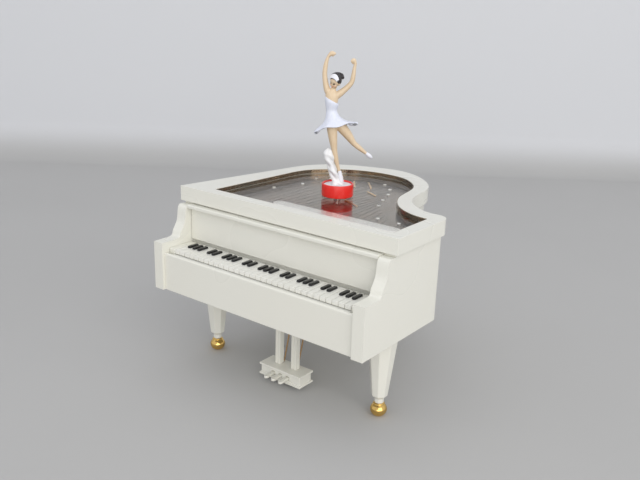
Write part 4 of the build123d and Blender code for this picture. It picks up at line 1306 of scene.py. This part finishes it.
    def support(self) -> None:
        """Loft the ruffled stem that holds it up, its lobes twisting as they rise."""
        work = bmesh.new()
        rows = eased([
            (0.0, 115.6, -1.7, 3.2), (-0.6, 117.0, -1.7, 2.9), (-1.3, 119.2, -1.6, 2.3),
            (-2.5, 122.0, -1.5, 2.5), (-3.4, 124.6, -1.4, 2.75), (-4.4, 127.4, -1.4, 2.15),
            (-5.4, 129.8, -1.3, 2.35), (-6.2, 132.2, -1.2, 2.85), (-6.5, 134.6, -1.2, 2.75),
            (-6.5, 136.4, -1.2, 1.9), (-6.5, 137.7, -1.2, 0.5),
        ], 72)
        previous: Edges = []
        for index, (side, height, depth, radius) in enumerate(rows):
            ring, edges = ring_of(work, self.stem_sides, index in (0, len(rows) - 1), Matrix.Identity(4))
            for vertex in ring:
                angle = math.atan2(vertex.co.y, vertex.co.x)
                twist = angle * 3 + index * 0.13
                lobe = 1.0 + 0.16 * math.cos(twist) + 0.10 * math.sin(index * 0.42 + angle * 2)
                vertex.co = self.point(
                    side + math.cos(angle) * radius * lobe, height + 0.25 * math.sin(twist),
                    depth + math.sin(angle) * radius * lobe * 0.85,
                )
            if previous:
                bmesh.ops.bridge_loops(work, edges=previous + edges)
            previous = edges
        bmesh.ops.recalc_face_normals(work, faces=work.faces)
        piece(work, "ruffled_stem", Slot.WHITE, Body.TURNTABLE, ["dancer_support"], angle=180.0)


# ---------------------------------------------------------------- finishes on carried-over nodes
def dress_nodes() -> None:
    """Give every CAD node the finish of its slot."""
    for entry in frame["record"]["subparts"]:
        mesh = frame["nodes"][entry["node"]].data
        mesh.materials.clear()
        mesh.materials.append(PALETTE.of(Slot(entry["material_slot"])))


# ---------------------------------------------------------------- studio
@dataclass(frozen=True)
class Lamp:
    """A square soft light: where it hangs, the point it faces, its side, its power in watts and its colour."""

    name: str
    spot: Triple
    aim: Triple
    size: float
    power: float
    tone: Colour

    def hang(self) -> None:
        """Hang the light."""
        data = bpy.data.lights.new(self.name, "AREA")
        data.shape = "SQUARE"
        data.size = self.size
        data.energy = self.power
        data.color = self.tone
        made = bpy.data.objects.new(self.name, data)
        way = Vector(self.aim) - Vector(self.spot)
        made.matrix_world = Matrix.Translation(self.spot) @ way.to_track_quat("-Z", "Y").to_matrix().to_4x4()
        bpy.context.scene.collection.objects.link(made)
        LOG.info("%s: hung at %.1f W", self.name, self.power)


@dataclass
class Studio:
    """The sweep, the soft lights, the sky tone and the camera."""

    eye: Triple = (0.26194, -0.36015, 0.22200)
    right: Triple = (0.78941, 0.61309, 0.03081)
    up: Triple = (-0.21004, 0.22260, 0.95202)
    ahead: Triple = (-0.57681, 0.75801, -0.30449)
    lens: float = 42.18
    wall_away: float = 1.044
    half_width: float = 2.6
    bend: float = 0.05
    bend_steps: int = 8
    wall_height: float = 1.7
    near: float = 2.2
    sky_tone: Colour = (0.93, 0.95, 1.0)
    sky_strength: float = 0.80
    lamps: tuple[Lamp, ...] = (
        Lamp("side_window", (1.4, -0.8, 0.8), (0.0, 0.0, 0.05), 1.5, 13.0, (1.0, 0.985, 0.95)),
        Lamp("overhead", (-0.25, 0.05, 1.35), (0.0, 0.0, 0.0), 1.2, 1.6, (1.0, 1.0, 1.0)),
        Lamp("low_fill", (0.65, -1.15, 0.14), (0.0, 0.0, 0.04), 0.8, 3.2, (1.0, 0.97, 0.92)),
    )

    def build(self) -> None:
        """Set everything up."""
        self.camera()
        self.sweep()
        self.lights()

    def camera(self) -> None:
        """Place the camera."""
        data = bpy.data.cameras.new("camera")
        data.lens = self.lens
        data.sensor_width = 36.0
        data.clip_start = 0.01
        made = bpy.data.objects.new("camera", data)
        turn = Matrix((self.right, self.up, tuple(-part for part in self.ahead))).transposed()
        made.matrix_world = Matrix.Translation(self.eye) @ turn.to_4x4()
        bpy.context.scene.collection.objects.link(made)
        bpy.context.scene.camera = made

    def sweep(self) -> None:
        """Extrude the floor and wall as one bent sheet."""
        level = Vector((self.ahead[0], self.ahead[1], 0.0)).normalized()
        across = Vector((-level.y, level.x, 0.0))
        foot = Vector((self.eye[0], self.eye[1], 0.0)) + level * self.wall_away
        line = [foot - level * (self.near + self.wall_away)]
        centre = foot - level * self.bend + UP * self.bend
        for index in range(self.bend_steps + 1):
            angle = math.radians(90 * index / self.bend_steps)
            line.append(centre + (level * math.sin(angle) - UP * math.cos(angle)) * self.bend)
        line.append(foot + UP * self.wall_height)
        work = bmesh.new()
        chain = [work.verts.new(spot - across * self.half_width) for spot in line]
        links = [work.edges.new(pair) for pair in zip(chain, chain[1:])]
        swept = bmesh.ops.extrude_edge_only(work, edges=links)["geom"]
        bmesh.ops.translate(
            work, verts=[item for item in swept if isinstance(item, bmesh.types.BMVert)],
            vec=across * self.half_width * 2,
        )
        mesh = bpy.data.meshes.new("sweep")
        work.to_mesh(mesh)
        work.free()
        mesh.shade_smooth()
        finish = Backdrop((0.455, 0.45, 0.44), (0.47, 0.465, 0.455), (0.71, 0.715, 0.73))
        mesh.materials.append(finish.material("backdrop"))
        made = bpy.data.objects.new("sweep", mesh)
        bpy.context.scene.collection.objects.link(made)

    def lights(self) -> None:
        """Hang the soft lights and set the sky tone."""
        for lamp in self.lamps:
            lamp.hang()
        world = bpy.data.worlds.new("studio_air")
        world.use_nodes = True
        sky = world.node_tree.nodes["Background"]
        sky.inputs["Color"].default_value = (*self.sky_tone, 1.0)
        sky.inputs["Strength"].default_value = self.sky_strength
        bpy.context.scene.world = world
        bpy.context.scene.view_settings.view_transform = "Standard"


def main() -> None:
    """Build everything in order."""
    logging.basicConfig(level=logging.INFO, format="%(name)s: %(message)s")
    Studio().build()
    dress_nodes()
    RoundedMouldings().build()
    Fallboard().build()
    Keyboard().build()
    Pedals().build()
    BallFeet().build()
    Harp().build()
    WindingKey().build()
    Turntable().build()
    Dancer().build()


if __name__ == "__main__":
    main()
